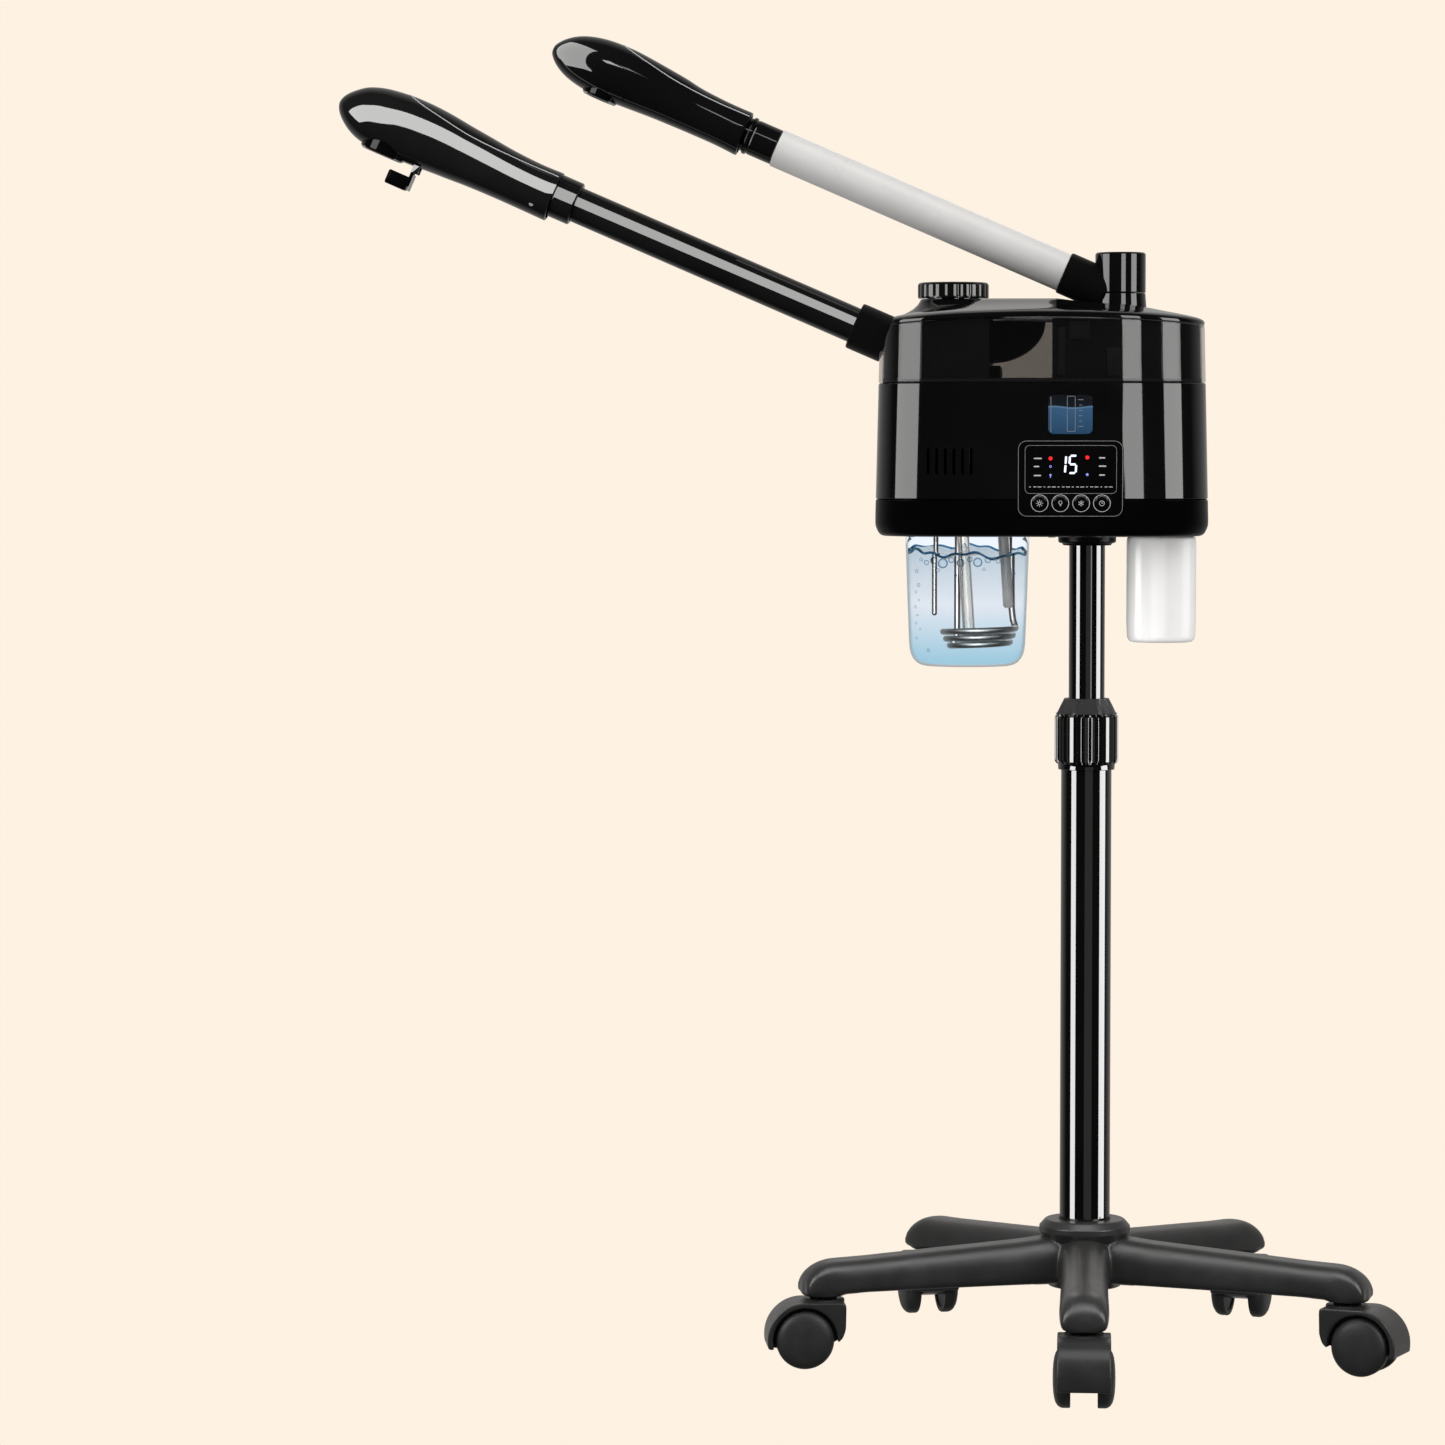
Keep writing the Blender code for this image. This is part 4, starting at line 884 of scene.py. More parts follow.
def dot(radius):
    mesh = lathe("dot", [(0, 0.3), (radius * 0.6, 0.27), (radius, 0.05), (radius, -0.4), (0, -0.4)], 20)
    mesh.transform(turned(90, "X"))
    return mesh


def ring_line(radius, thick, y0=-0.15, y1=0.3, steps=48):
    outer, inner = radius + thick / 2, radius - thick / 2
    rings = [[(x, y, z) for x, z, _ in circle(r, 0, steps)] for r,
             y in ((outer, y1), (outer, y0), (inner, y0), (inner, y1))]
    return lofted("ring", rings, closed=True)


def on_face(*parts):
    """Flat parts, each (mesh, x, z), placed on the front."""
    return [(mesh, moved(x, 0, z)) for mesh, x, z in parts]


def digit(lit, x, z, width=5.8, height=14.6, thick=1.7):
    """A digit of a seven segment display, leaning a little to the right."""
    lean = Matrix()
    lean[0][2] = 0.07
    across, up = width / 2, height / 4
    flat, upright = dash(width - thick * 0.55, thick), dash(thick, height / 2 - thick * 0.55)
    bars = {"a": (flat, 0, 2 * up), "g": (flat, 0, 0), "d": (flat, 0, -2 * up), "f": (upright, -across, up),
            "b": (upright, across, up), "e": (upright, -across, -up), "c": (upright, across, -up)}
    return [(bar, moved(x, 0, z) @ lean @ place) for bar, place in on_face(*(bars[key] for key in lit))]


def key_symbols():
    """Plain symbols: warm rays, a lamp, a frost star and a clock."""
    rays = [ring_line(1.1, 0.5, steps=24)]
    rays += [(dash(0.4, 1.3), turned(45 * i, "Y") @ moved(0, 0, 2.4)) for i in range(8)]
    lamp = on_face((ring_line(1.4, 0.4, steps=24), 0, 0.6), (dash(1.4, 0.5), 0, -1.4),
                   (dash(1, 0.4), 0, -2.1))
    frost = [(dash(0.4, 5.2), turned(60 * i, "Y")) for i in range(3)]
    frost += [(dash(1.2, 0.4), turned(60 * i, "Y") @ moved(0, 0, 1.7)) for i in range(6)]
    clock = on_face((ring_line(2.1, 0.4, steps=32), 0, 0), (dash(0.4, 1.6), 0, 0.7), (dash(1.2, 0.4), 0.5, 0))
    return rays, lamp, frost, clock


def front_of(node):
    """A placing at the middle of a node's front face, and the node's size."""
    middle, size = box_of(node)
    return moved(middle.x, middle.y - size.y / 2, middle.z), size


def make_panel():
    at, size = front_of("panel_fascia")
    lens_at, _ = front_of("display_lens")
    middle, lens = box_of("panel_fascia")[0], box_of("display_lens")[0]
    to_lens = moved(lens.x - middle.x, 0, lens.z - middle.z)
    seat = plate("lens_seat", 78, 41.4, 4.3, -10, 0.7, 0.1)
    fascia = cut(plate("fascia", size.x, size.z, 7.7, 0, 2.2), (seat, to_lens),
                 *key_holes(6.6, 40, moved(-middle.x, 0, -middle.z)))
    put("panel_face", fascia, "black_gloss", "cabinet", "panel_fascia", at=at)
    put("panel_lens", plate("lens", 77.4, 40.8, 4, 0, 0.7, 0.3), "black_gloss", "cabinet", "display_lens",
        at=lens_at)
    lines = [outline_band("outer", size.x - 0.8, size.z - 0.8, 7.3, 0.36, -0.1, 0.6),
             (outline_band("inner", 77.4, 40.8, 4, 0.32, -0.3, 0.4), to_lens)]
    put("panel_lines", joined("lines", lines), "line_grey", "cabinet", at=at)
    make_display(lens_at @ to_lens.inverted())
    make_keys(at.translation.y / MM)
    make_window()


def make_display(at):
    """Two digits, small lamps and plain dashes; at is on the lens, level with the panel's middle."""
    put("display_digits", joined("digits", digit("bc", -7, 12) + digit("afgcd", 2, 12)), "digit_glow",
        "cabinet", at=at)
    reds = on_face((dot(1.7), -16.8, 17), (dot(1.7), 14.2, 17.8))
    put("display_red_lamps", joined("reds", reds), "red_glow", "cabinet", at=at)
    blues = on_face((ring_line(0.8, 0.5, -0.2, 0.3, 24), -16.8, 10.2), (dot(0.9), -16.8, 3),
                    (dash(0.7, 1.8), -16.8, 1.6),
                    (dot(1.1), 14.2, 3.4))
    put("display_blue_lamps", joined("blues", blues), "blue_glow", "cabinet", at=at)
    labels = [(dash(width, 1.1), x, z) for width, x, z in (
        (6.8, -27.5, 17), (4.6, -28.6, 10.2), (6.2, -27.8, 2.6), (5.2, 26.6, 17.5), (6.2, 27, 10.5),
        (5, 26.6, 3))]
    labels += [(dash(1.6 + 0.9 * ((i * 7) % 3), 0.6), -34 + 4 * i, -7) for i in range(18)]
    put("display_marks", joined("labels", on_face(*labels)), "label_white", "cabinet", at=at)


def make_keys(panel_face):
    for number, symbol in enumerate(key_symbols(), 1):
        at, size = front_of(f"button_{number}")
        profile = [(0, 0), (4.8, 0), (5.6, 0.2), (6.1, 0.6), (6.2, 1.2), (6.2, size.y), (0, size.y)]
        put(f"key_{number}_cap", lathe("key", profile, 48), "black_gloss", f"key_{number}",
            f"button_{number}",
            at=at @ turned(-90, "X"))
        put(f"key_{number}_symbol", joined("symbol", symbol), "label_white", f"key_{number}", at=at)
        ring_at = moved(0, panel_face - at.translation.y / MM) @ at
        put(f"key_{number}_ring", ring_line(7.1, 0.5, -0.18, 0.8), "label_white", "cabinet", at=ring_at)


def make_window():
    at, size = front_of("level_window")
    put("window_pane", plate("pane", size.x, size.z, 4.7, 0, 2, 0.5), "window_blue", "cabinet",
        "level_window", at=at)
    marks = [(outline_band("slot", 7, 30, 0.8, 0.35, -0.1, 0.3), 0.6, 0.6)]
    marks += [(dash(4.5 if i in (0, 5) else 2.8, 0.4), 8.5, 12.5 - 4.5 * i) for i in range(6)]
    marks.append((dash(0.4, 30), -16.5, 0))
    put("window_marks", joined("marks", on_face(*marks)), "line_grey", "cabinet", at=at)


# ---------------------------------------------------------------- jar and cup

WATER_TOP = 698.5
WATER_RADIUS = 51.5


def make_jar():
    middle = box_of("jar_glass")[0]
    at = moved(middle.x, middle.y)
    outer = [(0, 600), (32, 600), (36.5, 600.3), (40.5, 601.3), (44, 603.3), (46.8, 606.3), (48.7, 610),
             (49.8, 614.5),
             (50.4, 620), (51.9, 660), (53.4, 703), (53.5, 706), (53.5, 710), (53.3, 711.4), (52.7, 712.1),
             (50, 712.2),
             (50, 729.5)]
    inner = [(48.6, 729.5), (48.6, 712), (50.2, 710), (51.9, 706), (51.9, 703), (50.5, 660), (49, 620),
             (48.4, 614.8),
             (47.4, 610.7), (45.7, 607.4), (43.2, 604.7), (40, 602.8), (36.3, 601.9), (32, 601.6), (0, 601.6)]
    put("jar_body", lathe("jar", outer + inner, 128, sharp=50.0), "jar_glass", "jar", "jar_glass", at=at)
    make_water(at)
    make_bubbles(at)


def wave(x, y):
    """The height of the boiling water above its level."""
    ripples = 1.8 * math.sin(0.15 * x + 1.1) + 1.2 * math.sin(0.31 * x - 0.09 * y
                                                              + 0.4) + 0.8 * math.sin(0.26 * y + 2)
    return 0.06 * y - 0.03 * x + ripples


def surface(radius, lift=0.0):
    return [(x, y, z + wave(x, y) + lift) for x, y, z in circle(radius, WATER_TOP)]


def make_water(at):
    wall = [(31.8, 601.8), (36.2, 602.1), (39.8, 603), (43, 604.9), (45.5, 607.6), (47.2, 610.8),
            (48.2, 614.9),
            (48.8, 620), (50.3, 660)]
    edge = surface(WATER_RADIUS, 1)
    rings = [circle(radius, height) for radius, height in wall] + [edge]
    rings += [surface(WATER_RADIUS * share) for share in (0.97, 0.90, 0.78, 0.62, 0.45, 0.28, 0.12, 0.03)]
    put("jar_water", lofted("water", rings, sharp=60.0), "water", "jar", at=at)
    # The rim is a sheet of painted shade along the waterline.
    rim = []
    for out, up in ((0, -1.2), (0.1, 0), (0, 1), (-2.2, 0.4), (-2.6, -0.6)):
        scale = 1 + out / WATER_RADIUS
        rim.append([(x * scale, y * scale, z + up) for x, y, z in edge])
    put("jar_water_line", lofted("water_line", rim, closed=True, sharp=60.0), "water_edge", "jar", at=at)


def make_bubbles(at):
    """Bubbles inside the wall, each (bearing, depth, radius)."""
    bubbles = []
    for bearing, depth, radius in (
            (232, 6.5, 3), (243, 9, 4.2), (254, 6, 2.6), (264, 8.5, 3.4), (274, 5.5, 2.4), (283, 8, 4),
        (294, 6, 2.6),
            (222, 8.5, 2.2), (306, 7, 2), (214, 6, 1.6), (239, 15, 1.6), (289, 14, 1.4), (204, 16, 1.5),
        (208, 28, 1.6),
            (203, 34, 1.1), (210, 41, 1), (201, 47, 1.3), (207, 54, 1), (203, 61, 1.2), (213, 66, 0.9),
        (205, 74, 1),
            (226, 84, 1.4), (330, 18, 1), (259, 19, 1.1)):
        arc = [(radius * math.sin(math.radians(a)), -radius * math.cos(math.radians(a)))
               for a in range(15, 180, 15)]
        ball = lathe("ball", [(0, -radius)] + arc + [(0, radius)], 24)
        turn = math.radians(bearing)
        out = 48 - radius
        bubbles.append((ball, moved(out * math.cos(turn), out * math.sin(turn), WATER_TOP - depth)))
    put("jar_bubbles", joined("bubbles", bubbles, sharp=60.0), "bubble", "jar", at=at)


COIL_TOP = 733.2


def coil_route():
    """Down one leg, round two and a half turns that draw in and sink, and up the other leg."""
    points = [(36, 8, COIL_TOP), (36, 8, 670), (36.2, 8, 650), (37.2, 8, 640), (38.5, 8, 636)]
    turns, steps = 2.5, 110
    start = math.atan2(8, 30)
    for i in range(steps + 1):
        share = i / steps
        angle = start - math.tau * turns * share
        radius = 30.5 - 6 * share
        points.append((9.5 + radius * math.cos(angle), radius * math.sin(angle), 633 - 15 * share))
    x, y, z = points[-1]
    return points + [(x + 3, y + 1.5, z + 2), (x + 5.5, y + 2.7, z + 7), (x + 6, y + 3, z + 16),
                     (x + 6, y + 3, COIL_TOP)]


def make_jar_fittings():
    boiler, probe = box_of("boiler_head")[0], box_of("level_probe")[0]
    put("heater_tube", swept("heater_tube", coil_route(), 2.7), "coil_steel", "cabinet", "heater_coil",
        at=moved(boiler.x, boiler.y))
    low, high = heights("level_probe")
    mesh = lathe("probe", [(0, low), (1.2, low), (2.2, low + 1.4), (2.2, high), (0, high)], 32)
    put("probe_rod", mesh, "coil_steel", "cabinet", "level_probe", at=moved(probe.x, probe.y))
    put("fill_pipe", pipe("fill_pipe", 5.2, 3.8, -101, 0, 0.4, 48), "clear_tube", "cabinet", "fill_tube",
        at=moved(-108, -19, 732.5) @ turned(-3.6, "Y"))
    mesh = lathe("sheath", [(0, -82), (3, -81.6), (4.5, -80), (4.5, -40), (4.8, -39.6), (4.8, -37),
                            (4.5, -36.6),
                            (4.5, 0), (0, 0)], 40)
    put("sensor_sheath", mesh, "sheath_grey", "cabinet", "thermostat_sheath",
        at=moved(-73.5, -14, 732.5) @ turned(-3.4, "Y"))


def make_cup():
    middle = box_of("cold_cup")[0]
    outer = [(0, 621.6), (15, 621.4), (17, 621), (23.5, 621), (26.5, 621.6), (28.3, 623), (29.2, 625.2),
             (29.6, 629),
             (30, 640), (30, 708), (29.7, 710.5), (28.8, 711.9), (27, 712.3), (26, 712.8), (26, 729)]
    inner = [(24, 729), (24, 708.5), (27.6, 705), (27.8, 630), (26.8, 625), (24, 623.8), (0, 623.6)]
    put("cup_body", lathe("cup", fillet(outer, 0.6) + inner, sharp=50.0), "milky_plastic", "cup", "cold_cup",
        at=moved(middle.x, middle.y))


# ---------------------------------------------------------------- arms

# Each head's stations up its arm: place, underside, upper side, half width. Each parting: place, height.
HOT_STATIONS = (
    (315.5, -23.9, 20.4, 21.5), (336.5, -23.5, 20, 21.7), (362.6, -23.2, 21.4, 22.2),
    (388.7, -23.5, 24.3, 23.2),
    (406.1, -24.3, 26.2, 24.2), (423.5, -25, 28.4, 25.4), (440.9, -26, 29.8, 26.6), (458.3, -26.4, 30, 27.5),
    (471.4, -26.2, 29.1, 27.5), (484.4, -25.2, 27.3, 26.2), (494, -23.6, 24.8, 24.3), (503, -20, 21, 21.2),
    (511, -14.8, 15, 16.5), (517, -9, 8.8, 10.5), (520, -3.5, 3.2, 4.5))
HOT_PARTING = ((300, 15.6), (320, 15.6), (354, 15.5), (400, 17.3), (432, 22.2), (456, 26.8), (476.6, 33))
COLD_STATIONS = (
    (354, -20.4, 19.1, 19.6), (375.1, -19.2, 19.1, 19.6), (401.2, -19.1, 20.6, 20.2),
    (418.6, -19.3, 23.3, 21.2),
    (436, -19.7, 25.3, 22.4), (453.4, -20.6, 27.1, 23.6), (470.8, -21.4, 28.3, 24.6),
    (488.2, -21.4, 27.9, 24.9),
    (499, -20.4, 26.6, 24), (508.5, -18.8, 24.4, 22.4), (517, -16.4, 21.3, 19.8), (524.5, -13, 17, 16),
    (531, -8.4, 11.4, 11), (535.5, -3, 5.2, 5))
COLD_PARTING = ((340.3, 14.7), (356.1, 14.7), (390.7, 14.8), (425.3, 17.3), (450, 21.5), (472, 25.8),
                (490, 31))


def row_before(rows, at):
    """The last row that starts before a place, with another row after it."""
    i = 0
    while i < len(rows) - 2 and rows[i + 1][0] < at:
        i += 1
    return i


def smooth_height(rows, at):
    """The height at a place on a smooth curve through (place, height) rows."""
    i = row_before(rows, at)
    p0, p1, p2, p3 = rows[max(i - 1, 0)], rows[i], rows[i + 1], rows[min(i + 2, len(rows) - 1)]
    span = p2[0] - p1[0]
    t = (at - p1[0]) / span
    m1 = (p2[1] - p0[1]) / (p2[0] - p0[0]) * span
    m2 = (p3[1] - p1[1]) / (p3[0] - p1[0]) * span
    return ((2 * t ** 3 - 3 * t ** 2 + 1) * p1[1] + (t ** 3 - 2 * t ** 2 + t) * m1
            + (-2 * t ** 3 + 3 * t ** 2) * p2[1] + (t ** 3 - t ** 2) * m2)


def smooth_stations(table, end):
    """Closely spaced stations along a head, through the table's stations and round a smooth nose."""
    middle = sum(table[-1][1:3]) / 2
    rows = [table[0], *table, (end, middle, middle, 0.0)]
    rows.append(tuple(2 * v - w for v, w in zip(rows[-1], rows[-2])))
    result = []
    for i in range(1, len(rows) - 2):
        for t in (0.0, 0.2, 0.4, 0.6, 0.8):
            result.append(tuple(0.5 * (2 * q1 + (q2 - q0) * t + (2 * q0 - 5 * q1 + 4 * q2 - q3) * t * t
                                       + (3 * q1 - q0 - 3 * q2 + q3) * t ** 3)
                                for q0, q1, q2, q3 in zip(*rows[i - 1:i + 3])))
    if result[-1][3] < 0.4:
        result.pop()
    return result


def parting_line(parting, steps=60):
    start, end = parting[0][0], parting[-1][0]
    places = [start + (end - start) * i / steps for i in range(steps + 1)]
    return [(smooth_height(parting, at), at) for at in places]


def head_ring(station, inset, count=72):
    at, low, high, half = station
    middle, tall, wide = (low + high) / 2, (high - low) / 2 - inset, half - inset
    return [(middle + tall * c, wide * s, at) for c, s, _ in circle(1, 0, count)]


def head_shells(stations, parting, wall=2.2):
    """The lower and upper shells of a head, parted along a line with a fine gap."""
    first, *sizes = stations[0]
    rings = [head_ring((first + on, *sizes), inset) for on, inset in ((0, 1.2), (0.1, 0.6), (0.4, 0.15))]
    rings += [head_ring(s, 0) for s in stations if s[0] > first + 0.8]
    outer = lofted("head_outer", rings, sharp=40.0)
    inner = lofted("head_inner", [head_ring((first - 10, *sizes), wall)]
                   + [head_ring(s, wall) for s in stations if s[3] > 10])
    line = parting_line(parting)

    def above(offset):
        edge = [(height + offset, at) for height, at in line]
        return slab("above", edge + [(90, edge[-1][1]), (90, edge[0][1])], -60, 60)
    lower = cut(outer.copy(), above(-0.15), inner, sharp=40.0)
    upper = cut(cut(outer, above(0.15), operation="INTERSECT", sharp=40.0), inner, sharp=40.0)
    return lower, upper


SEAM_PROUD = 0.15


def seam_bead(stations, parting):
    """The fine polished edge along the join of the two shells, up one side and down the other."""
    sides = {-1: [], 1: []}
    for height, at in parting_line(parting):
        if at < stations[0][0] + 0.4:
            continue
        i = row_before(stations, at)
        a, b = stations[i], stations[i + 1]
        low, high, half = (a[c] + (b[c] - a[c]) * (at - a[0]) / (b[0] - a[0]) for c in (1, 2, 3))
        middle, proud = (low + high) / 2, 1 + SEAM_PROUD / half
        share = (height - middle) / ((high - low) / 2)
        if share > 0.997:
            break
        for side, line in sides.items():
            line.append((middle + (height - middle) * proud,
                         side * half * math.sqrt(1 - share * share) * proud, at))
    return swept("seam", sides[-1] + sides[1][::-1], 0.42, 8)


def make_nozzle(tag, body, at, radius):
    """The ring, its four small windows and the dark cup inside, facing along local Z."""
    profile = [(-0.3, -13), (-0.3, -0.4), (-1.2, 0.8), (-4.2, 1.9), (-5.6, 2), (-6.4, 1.2), (-7, -1.5),
               (-7, -6),
               (-3, -8.5), (-3, -13)]
    ring = lathe("nozzle", [(radius + r, z) for r, z in profile], closed=True, round_by=0.4)
    put(f"{tag}_nozzle_ring", ring, "black_gloss", body, f"{tag}_nozzle", at)
    window = block("window", -0.6, 0.4, -3.6, 3.6, -1.2, 1.2, 0.3, 3)
    windows = [(window, turned(angle) @ moved(radius - 1.8, 0, 0.9) @ turned(-52, "Y"))
               for angle in (35, 145, 215, 325)]
    put(f"{tag}_nozzle_windows", joined("windows", windows), "silver_plastic", body, at=at)
    cup = [(0, -6.2), (radius - 6.8, -6.2), (radius - 6.4, -2), (radius - 7.2, -1.8), (radius - 8, -5),
           (0, -5)]
    put(f"{tag}_nozzle_cup", lathe("cup", cup, 48), "grey_plastic", body, at=at)


def make_head(tag, arm, table, end, parting, gloss, nozzle_at, radius, lugs=()):
    """A head's two shells, the bead between them and its nozzle."""
    body = f"{tag}_head"
    stations = smooth_stations(table, end)
    lower, upper = head_shells(stations, parting)
    down = moved(*nozzle_at) @ turned(-90, "Y")
    lower = cut(lower, (rod("mouth", radius + GAP, -20, 20, 72), down), sharp=40.0)
    if lugs:
        lower = cut(lower, *lugs, operation="UNION", sharp=40.0)
    put(f"{body}_shell_lower", lower, gloss, body, f"{body}_lower", at=arm)
    put(f"{body}_shell_upper", upper, gloss, body, f"{body}_upper", at=arm)
    put(f"{body}_seam", seam_bead(stations, parting), "silver_plastic", body, at=arm)
    make_nozzle(tag, body, arm @ down, radius)


def make_hot_arm():
    sleeve = [(9, -11), (11.1, -11), (11.1, 0.3), (20, 0.3), (20.6, 1), (20.6, 30.5), (20, 32), (15.8, 32),
              (15.8, 6),
              (9, 6)]
    put("hot_arm_sleeve", lathe("sleeve", sleeve, closed=True, round_by=0.6), "sleeve_black", "hot_mast",
        "hot_sleeve",
        at=HOT)
    put("hot_arm_tube", pipe("tube", 15.5, 13.5, 6.4, 307.5, 0.5), "arm_gloss", "hot_mast", "hot_tube",
        at=HOT)
    collar = [(15.8, 295.5), (18, 295.5), (19.1, 296.6), (19.1, 314.8), (18.7, 315.2), (16.5, 315.2),
              (16.5, 324.5),
              (14, 324.5), (14, 307.9), (15.8, 307.9)]
    put("hot_head_collar", lathe("collar", collar, closed=True, round_by=0.4), "arm_gloss", "hot_head",
        "hot_collar",
        at=HOT)
    lug = block("lug", -31.5, -23.5, 6.2, 8.5, 432.5, 438.5, 0.6)
    make_head("hot", HOT, HOT_STATIONS, 520.3, HOT_PARTING, "arm_gloss", (-26.4, 0, 469), 20.5,
              (lug, (lug, moved(0, -14.7))))
    make_aroma()
    pin = lathe("pin", [(0, 0.6), (1.6, 0.6), (2.1, 0.1), (2.1, -1.2), (0, -1.2)], 24)
    pins = [(pin, moved(-15, side * 16.8, 330) @ turned(-side * 90, "X")) for side in (-1, 1)]
    put("hot_head_pins", joined("pins", pins), "silver_plastic", "hot_head", at=HOT)


def make_aroma():
    """The small box on a hinged stem below the hot head, with a bright clip on it."""
    at = HOT @ moved(-29, 0, 435.5)
    rings = []
    for inset, x in ((1.4, -19.5), (0.4, -19.1), (0, -18), (0, -8.5), (0.6, -7.2), (1.2, -7)):
        outline = rounded_rect(18 - 2 * inset, 19.5 - 2 * inset, 3 - inset, 5)
        rings.append([(x, y, 11.75 + z) for y, z in outline])
    pocket = lofted("pocket", [[(x, y, 12.5 + z) for y, z in rounded_rect(14.8, 14.8, 2.2, 4)]
                               for x in (-17.8, 0)])
    stem = block("stem", -15, -0.5, -5, 5, 0.4, 3.5, 0.7)
    barrel = rod("barrel", 2.4, -5.9, 5.9, 32)
    box = cut(cut(lofted("aroma", rings), pocket), stem, (barrel, turned(90, "X")), operation="UNION")
    put("aroma_holder", box, "black_satin", "aroma", "aroma_flap", at=at)
    clip = block("clip", -18.6, -4, -6.4, 6.4, -0.8, 0.1, 0.3)
    put("aroma_clip", clip, "silver_plastic", "aroma", at=at)


def make_cold_arm():
    joint = joint_at("cold_post_turn")
    seam, top, end = joint.z, heights("cold_elbow")[1], COLD_TUBE_END
    post_at = moved(joint.x, joint.y)
    post = lathe("post", [(0, top - 0.6), (16.5, top - 0.6), (17.8, top), (20.4, top), (21.7, top - 1.4),
                          (21.75, seam + 0.6), (21.2, seam), (11.7, seam), (11.7, seam - 12),
                          (0, seam - 12)], round_by=0.5)
    bore = rod("bore", 17.1, 26, 100, 72)
    post = cut(post, (bore, post_at.inverted() @ COLD), sharp=40.0)
    put("cold_arm_elbow", post, "black_gloss", "cold_mast", "cold_elbow", at=post_at)
    sleeve = lathe("sleeve", [(0, 10), (18.5, 10), (18.5, 51.6), (18.2, 52.6), (17.4, 53.2), (0, 53.2)])
    below = rod("below", 23.2, 880, seam, 96)
    sleeve = cut(sleeve, (below, COLD.inverted() @ post_at), bore, sharp=40.0)
    put("cold_arm_sleeve", sleeve, "sleeve_black", "cold_mast", at=COLD)
    put("cold_arm_tube", pipe("tube", 16.8, 14.8, 26.6, end, 0.5), "pearl_white", "cold_mast", "cold_tube",
        at=COLD)
    collar = [(12, -12), (14.5, -12), (14.5, 0.3), (15, 0.3), (15.6, 1), (15.6, 22), (15.2, 22.6),
              (15.2, 23.6),
              (16.6, 24.2), (16.6, 27), (15, 27.6), (15, 39.4), (12, 39.4)]
    collar = lathe("collar", [(r, end + z) for r, z in collar], closed=True, round_by=0.3)
    put("cold_head_collar", collar, "black_gloss", "cold_head", "cold_collar", at=COLD)
    make_head("cold", COLD, COLD_STATIONS, 535.8, COLD_PARTING, "black_gloss", (-21.4, 0, 482.5), 16.5)


# ---------------------------------------------------------------- nodes that keep their CAD shape

KEPT = {"pole_bolt": "steel", "collar_bush": "grey_plastic", "control_board": "circuit_board",
        "power_board": "circuit_board", "power_inlet": "sleeve_black", "fan_rotor": "grey_plastic",
        "mist_head": "grey_plastic", "boiler_head": "steel", "jar_seal": "seal_rubber"}


def keep_nodes():
    for node, material in KEPT.items():
        obj = NODES[node]
        obj.data.materials.clear()
        obj.data.materials.append(MAT[material])


# ---------------------------------------------------------------- stage, light, camera

CREAM = (0.991, 0.888, 0.761)


def make_stage():
    size = 30000
    floor = in_scene("floor", block("floor", -size, size, -size, size, -20, -0.5))
    new_material("pale_floor", (0, 0, 0), 1, {"Specular IOR Level": 0, "Emission Color": CREAM,
                                              "Emission Strength": 1})
    floor.data.materials.append(MAT["pale_floor"])
    floor.visible_glossy = False
    floor.visible_diffuse = False
    floor.visible_transmission = False


def make_world():
    """A pale room: light behind the object for gloss to catch at its edges, dark in front of it."""
    world = bpy.data.worlds.new("studio")
    bpy.context.scene.world = world
    world.use_nodes = True
    tree = world.node_tree
    rays = add_node(tree, "LightPath").outputs

    def mixed(factor, a, b):
        return add_node(tree, "Mix", {"Factor": factor, "A": a, "B": b}, data_type="RGBA").outputs["Result"]
    behind = ranged(tree, along(tree, "Y", "Generated"), 0.003, 0.50, 0.15, 0.95)
    seen = mixed(rays["Is Glossy Ray"], CREAM, mixed(behind, (0, 0, 0), (0.94, 0.92, 0.90)))
    through = mixed(rays["Is Transmission Ray"], seen, (0.93, 0.95, 1.0))
    feed(tree, tree.nodes["Background"], {"Color": mixed(rays["Is Diffuse Ray"], through,
                                                         (0.50, 0.49, 0.48))})


def softbox(name, azimuth, elevation, distance, width, height, radiance, lit, target, roll=0.0):
    """A flat light that falls on the lit pieces; its azimuth runs from the front to the right."""
    light = bpy.data.lights.new(name, "AREA")
    light.shape = "RECTANGLE"
    light.size = width
    light.size_y = height
    light.energy = radiance * width * height * math.pi
    light.color = (1.0, 0.994, 0.985)
    a, e = math.radians(azimuth), math.radians(elevation)
    out = Vector((math.sin(a) * math.cos(e), -math.cos(a) * math.cos(e), math.sin(e)))
    turn = out.to_track_quat("Z", "Y").to_matrix().to_4x4()
    obj = in_scene(name, light,
                   Matrix.Translation(FOOT + Vector(target) + out * distance) @ turn @ turned(roll))
    obj.visible_camera = False
    group = bpy.data.collections.new(name + "_receivers")
    for piece in lit:
        group.objects.link(piece)
    obj.light_linking.receiver_collection = group


def pieces(*starts):
    return [obj for obj in PIECES if obj.name.startswith(starts)]


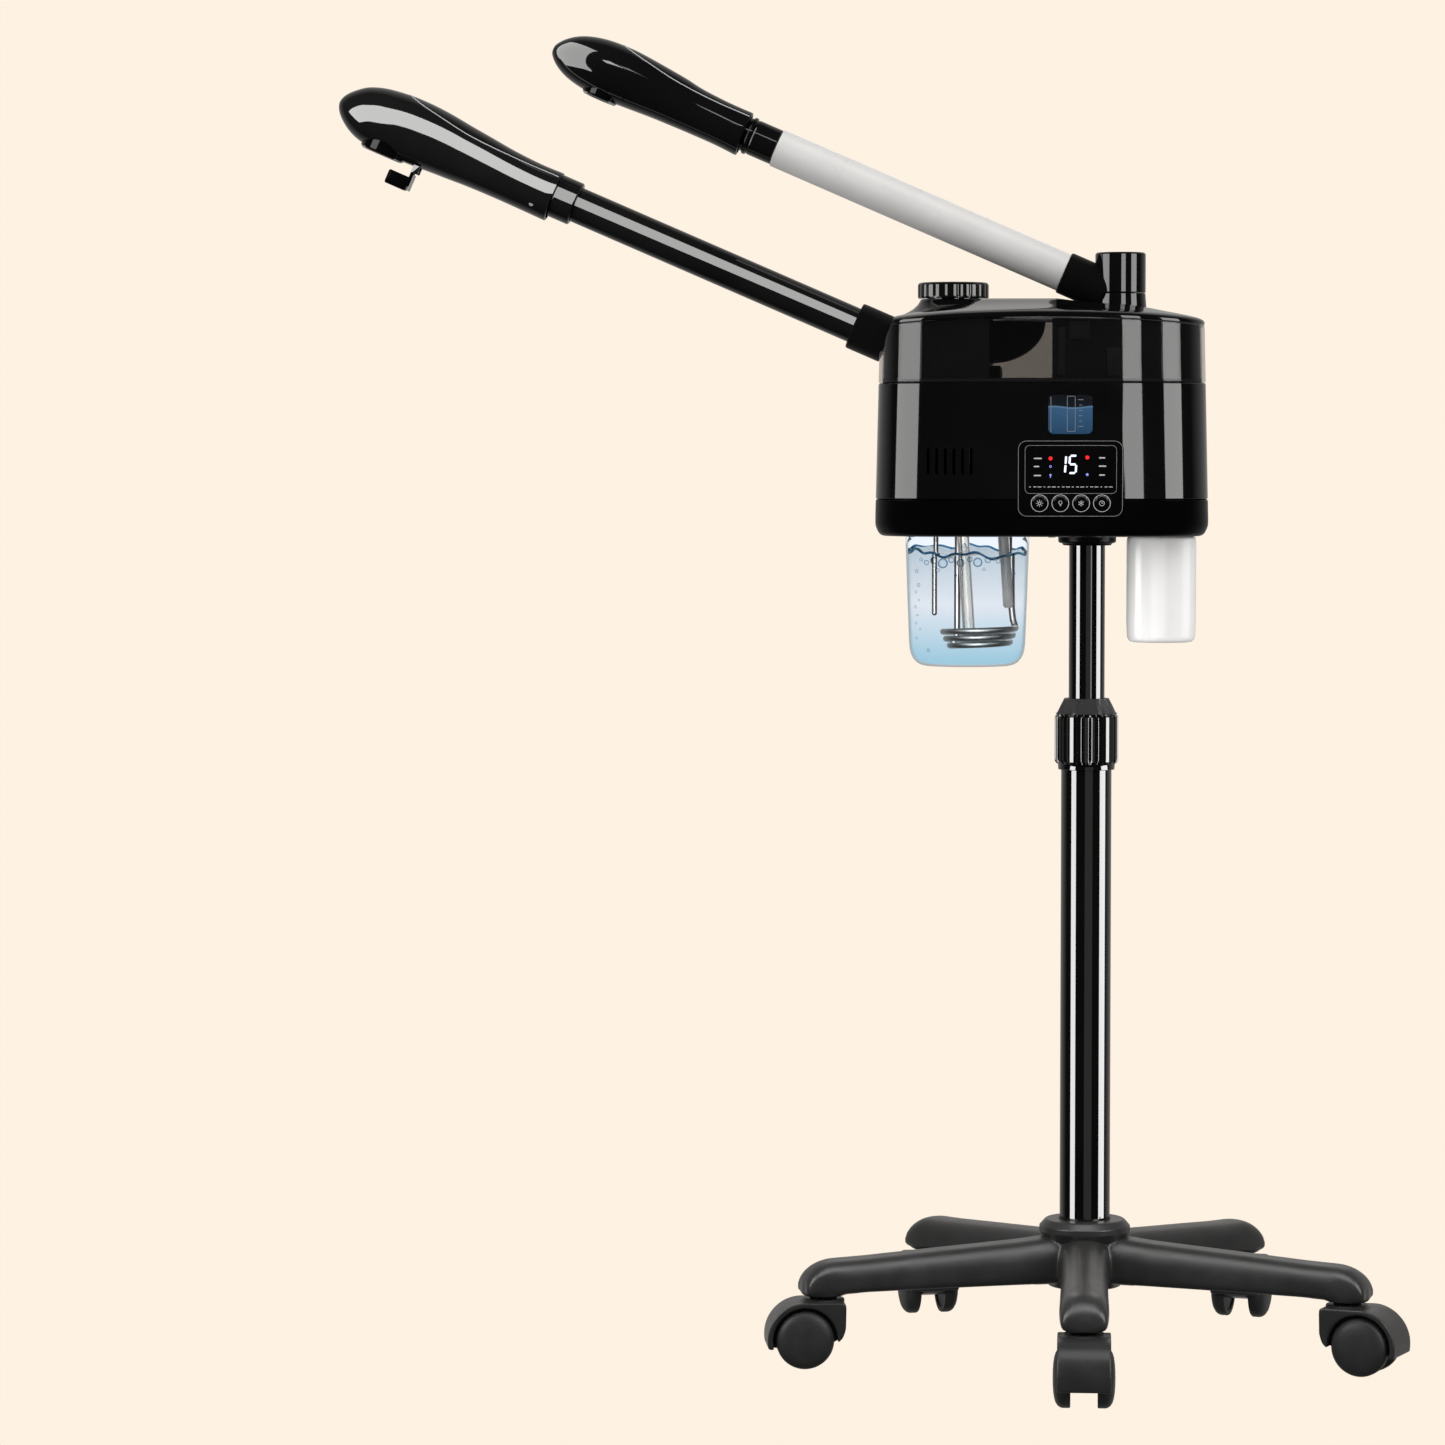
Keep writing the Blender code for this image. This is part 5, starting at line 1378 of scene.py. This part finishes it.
def make_lights():
    column = pieces("column_", "cabinet_flange")
    cabinet = pieces("cabinet_housing", "cabinet_tank", "cabinet_deck", "tank_cap", "cold_arm_elbow")
    tube = pieces("hot_arm_tube", "hot_head_collar")
    hot, cold = pieces("hot_head_shell"), pieces("cold_head_shell", "cold_head_collar")
    cup, pearl = pieces("cup_body"), pieces("cold_arm_tube")
    star, stand = pieces("base_"), pieces("base_", "caster_")
    inside_jar = pieces("heater_tube", "probe_rod", "sensor_sheath", "fill_pipe")
    beads = pieces("hot_head_seam", "cold_head_seam")
    glossy = column + cabinet + tube + hot + cold + pieces("cabinet_tray", "cold_arm_sleeve",
                                                           "hot_arm_sleeve")
    others = [obj for obj in PIECES if obj not in glossy] + [NODES[node] for node in KEPT]
    for piece in pieces("jar_", "cup_", "tank_cap") + inside_jar:
        piece.visible_glossy = False
    for piece in pieces("jar_"):
        piece.visible_shadow = False
    middle, body, tip = (0, 0, 0.6), (0, 0, 0.8), (-0.25, 0, 1.1)
    up_arm, jar, floor = (-0.35, 0, 1.0), (0, 0, 0.7), (0, 0, 0.1)
    half_way = (0, 0, 0.5)
    for light in (
            ("column_left", -59, 0, 2.4, 1.02, 2.6, 6.2, column, middle),
            ("column_right", 81, 0, 2.4, 1.38, 2.6, 6.2, column, middle),
            ("column_soft", 12, 0, 2.4, 1.5, 2.6, 0.16, column, middle),
            ("upper_thin", 28, 0, 2.4, 0.30, 2.6, 1.5, pieces("column_upper_pole"), middle),
            ("cabinet_left", -70, 4, 2.4, 1.50, 2.2, 2.9, cabinet, body),
            ("cabinet_right", 64, 4, 2.4, 1.15, 2.2, 3.2, cabinet, body),
            ("cabinet_front", 14, 4, 2.4, 0.80, 2.2, 3.0, cabinet, body),
            ("tube_strip", -24, 16, 2.6, 7.6, 2.5, 4.1, tube, up_arm, 23),
            ("head_strip", -24, 20, 2.6, 7.6, 2.1, 5.8, hot, up_arm, 29),
            ("cold_tip", -62, 24, 2.4, 3.4, 5.4, 4.0, cold, tip),
            ("cold_glint", 0, 28, 2.4, 0.34, 0.30, 5.0, cold, tip, 23),
            ("cold_line", 9, 30, 2.4, 0.22, 0.14, 2.6, cold, tip, 23),
            ("cup_front", -10, 5, 2.6, 2.4, 2.4, 2.1, cup, jar),
            ("cup_left", -90, 5, 2.4, 1.6, 1.6, 9.0, cup, jar),
            ("cup_right", 90, 5, 2.4, 1.6, 1.6, 2.2, cup, jar),
            ("pearl_front", -15, 20, 2.6, 2.4, 2.4, 0.55, pearl, (-0.2, 0, 1.0)),
            ("bead_front", 0, 10, 2.4, 2.0, 2.0, 1.6, beads, jar),
            ("jar_front", -8, 12, 2.4, 1.8, 1.8, 4.6, inside_jar, jar),
            ("stand_left", -55, 28, 2.2, 1.0, 1.6, 4.0, stand, floor),
            ("stand_right", 55, 28, 2.2, 1.0, 1.6, 4.0, stand, floor),
            ("stand_top", 0, 60, 2.2, 2.0, 0.9, 2.2, star, floor),
            ("top", 0, 72, 2.6, 2.2, 1.6, 1.6, others, half_way),
            ("fill_left", -50, 35, 3.0, 1.6, 1.6, 1.3, others, half_way),
            ("fill_right", 50, 35, 3.0, 1.6, 1.6, 1.1, others, half_way),
            ("rear", 180, 30, 3.0, 2.0, 1.2, 0.8, others, middle)):
        softbox(*light)


def make_camera():
    camera = bpy.data.cameras.new("camera")
    camera.lens = 126.4
    camera.sensor_width = 36.0
    camera.clip_end = 100.0
    obj = in_scene("camera", camera)
    obj.location = (FOOT.x, FOOT.y - 4.4, 0.78)
    obj.rotation_euler = (math.radians(90 - 2.986), 0.0, math.radians(4.109))
    bpy.context.scene.camera = obj


make_base()
make_column()
make_casters()
make_tray()
make_housing()
make_tank()
make_deck()
make_panel()
make_jar()
make_jar_fittings()
make_cup()
make_hot_arm()
make_cold_arm()
keep_nodes()
make_stage()
make_world()
make_lights()
make_camera()
bpy.context.scene.view_settings.view_transform = "Standard"
bpy.context.scene.view_settings.look = "None"
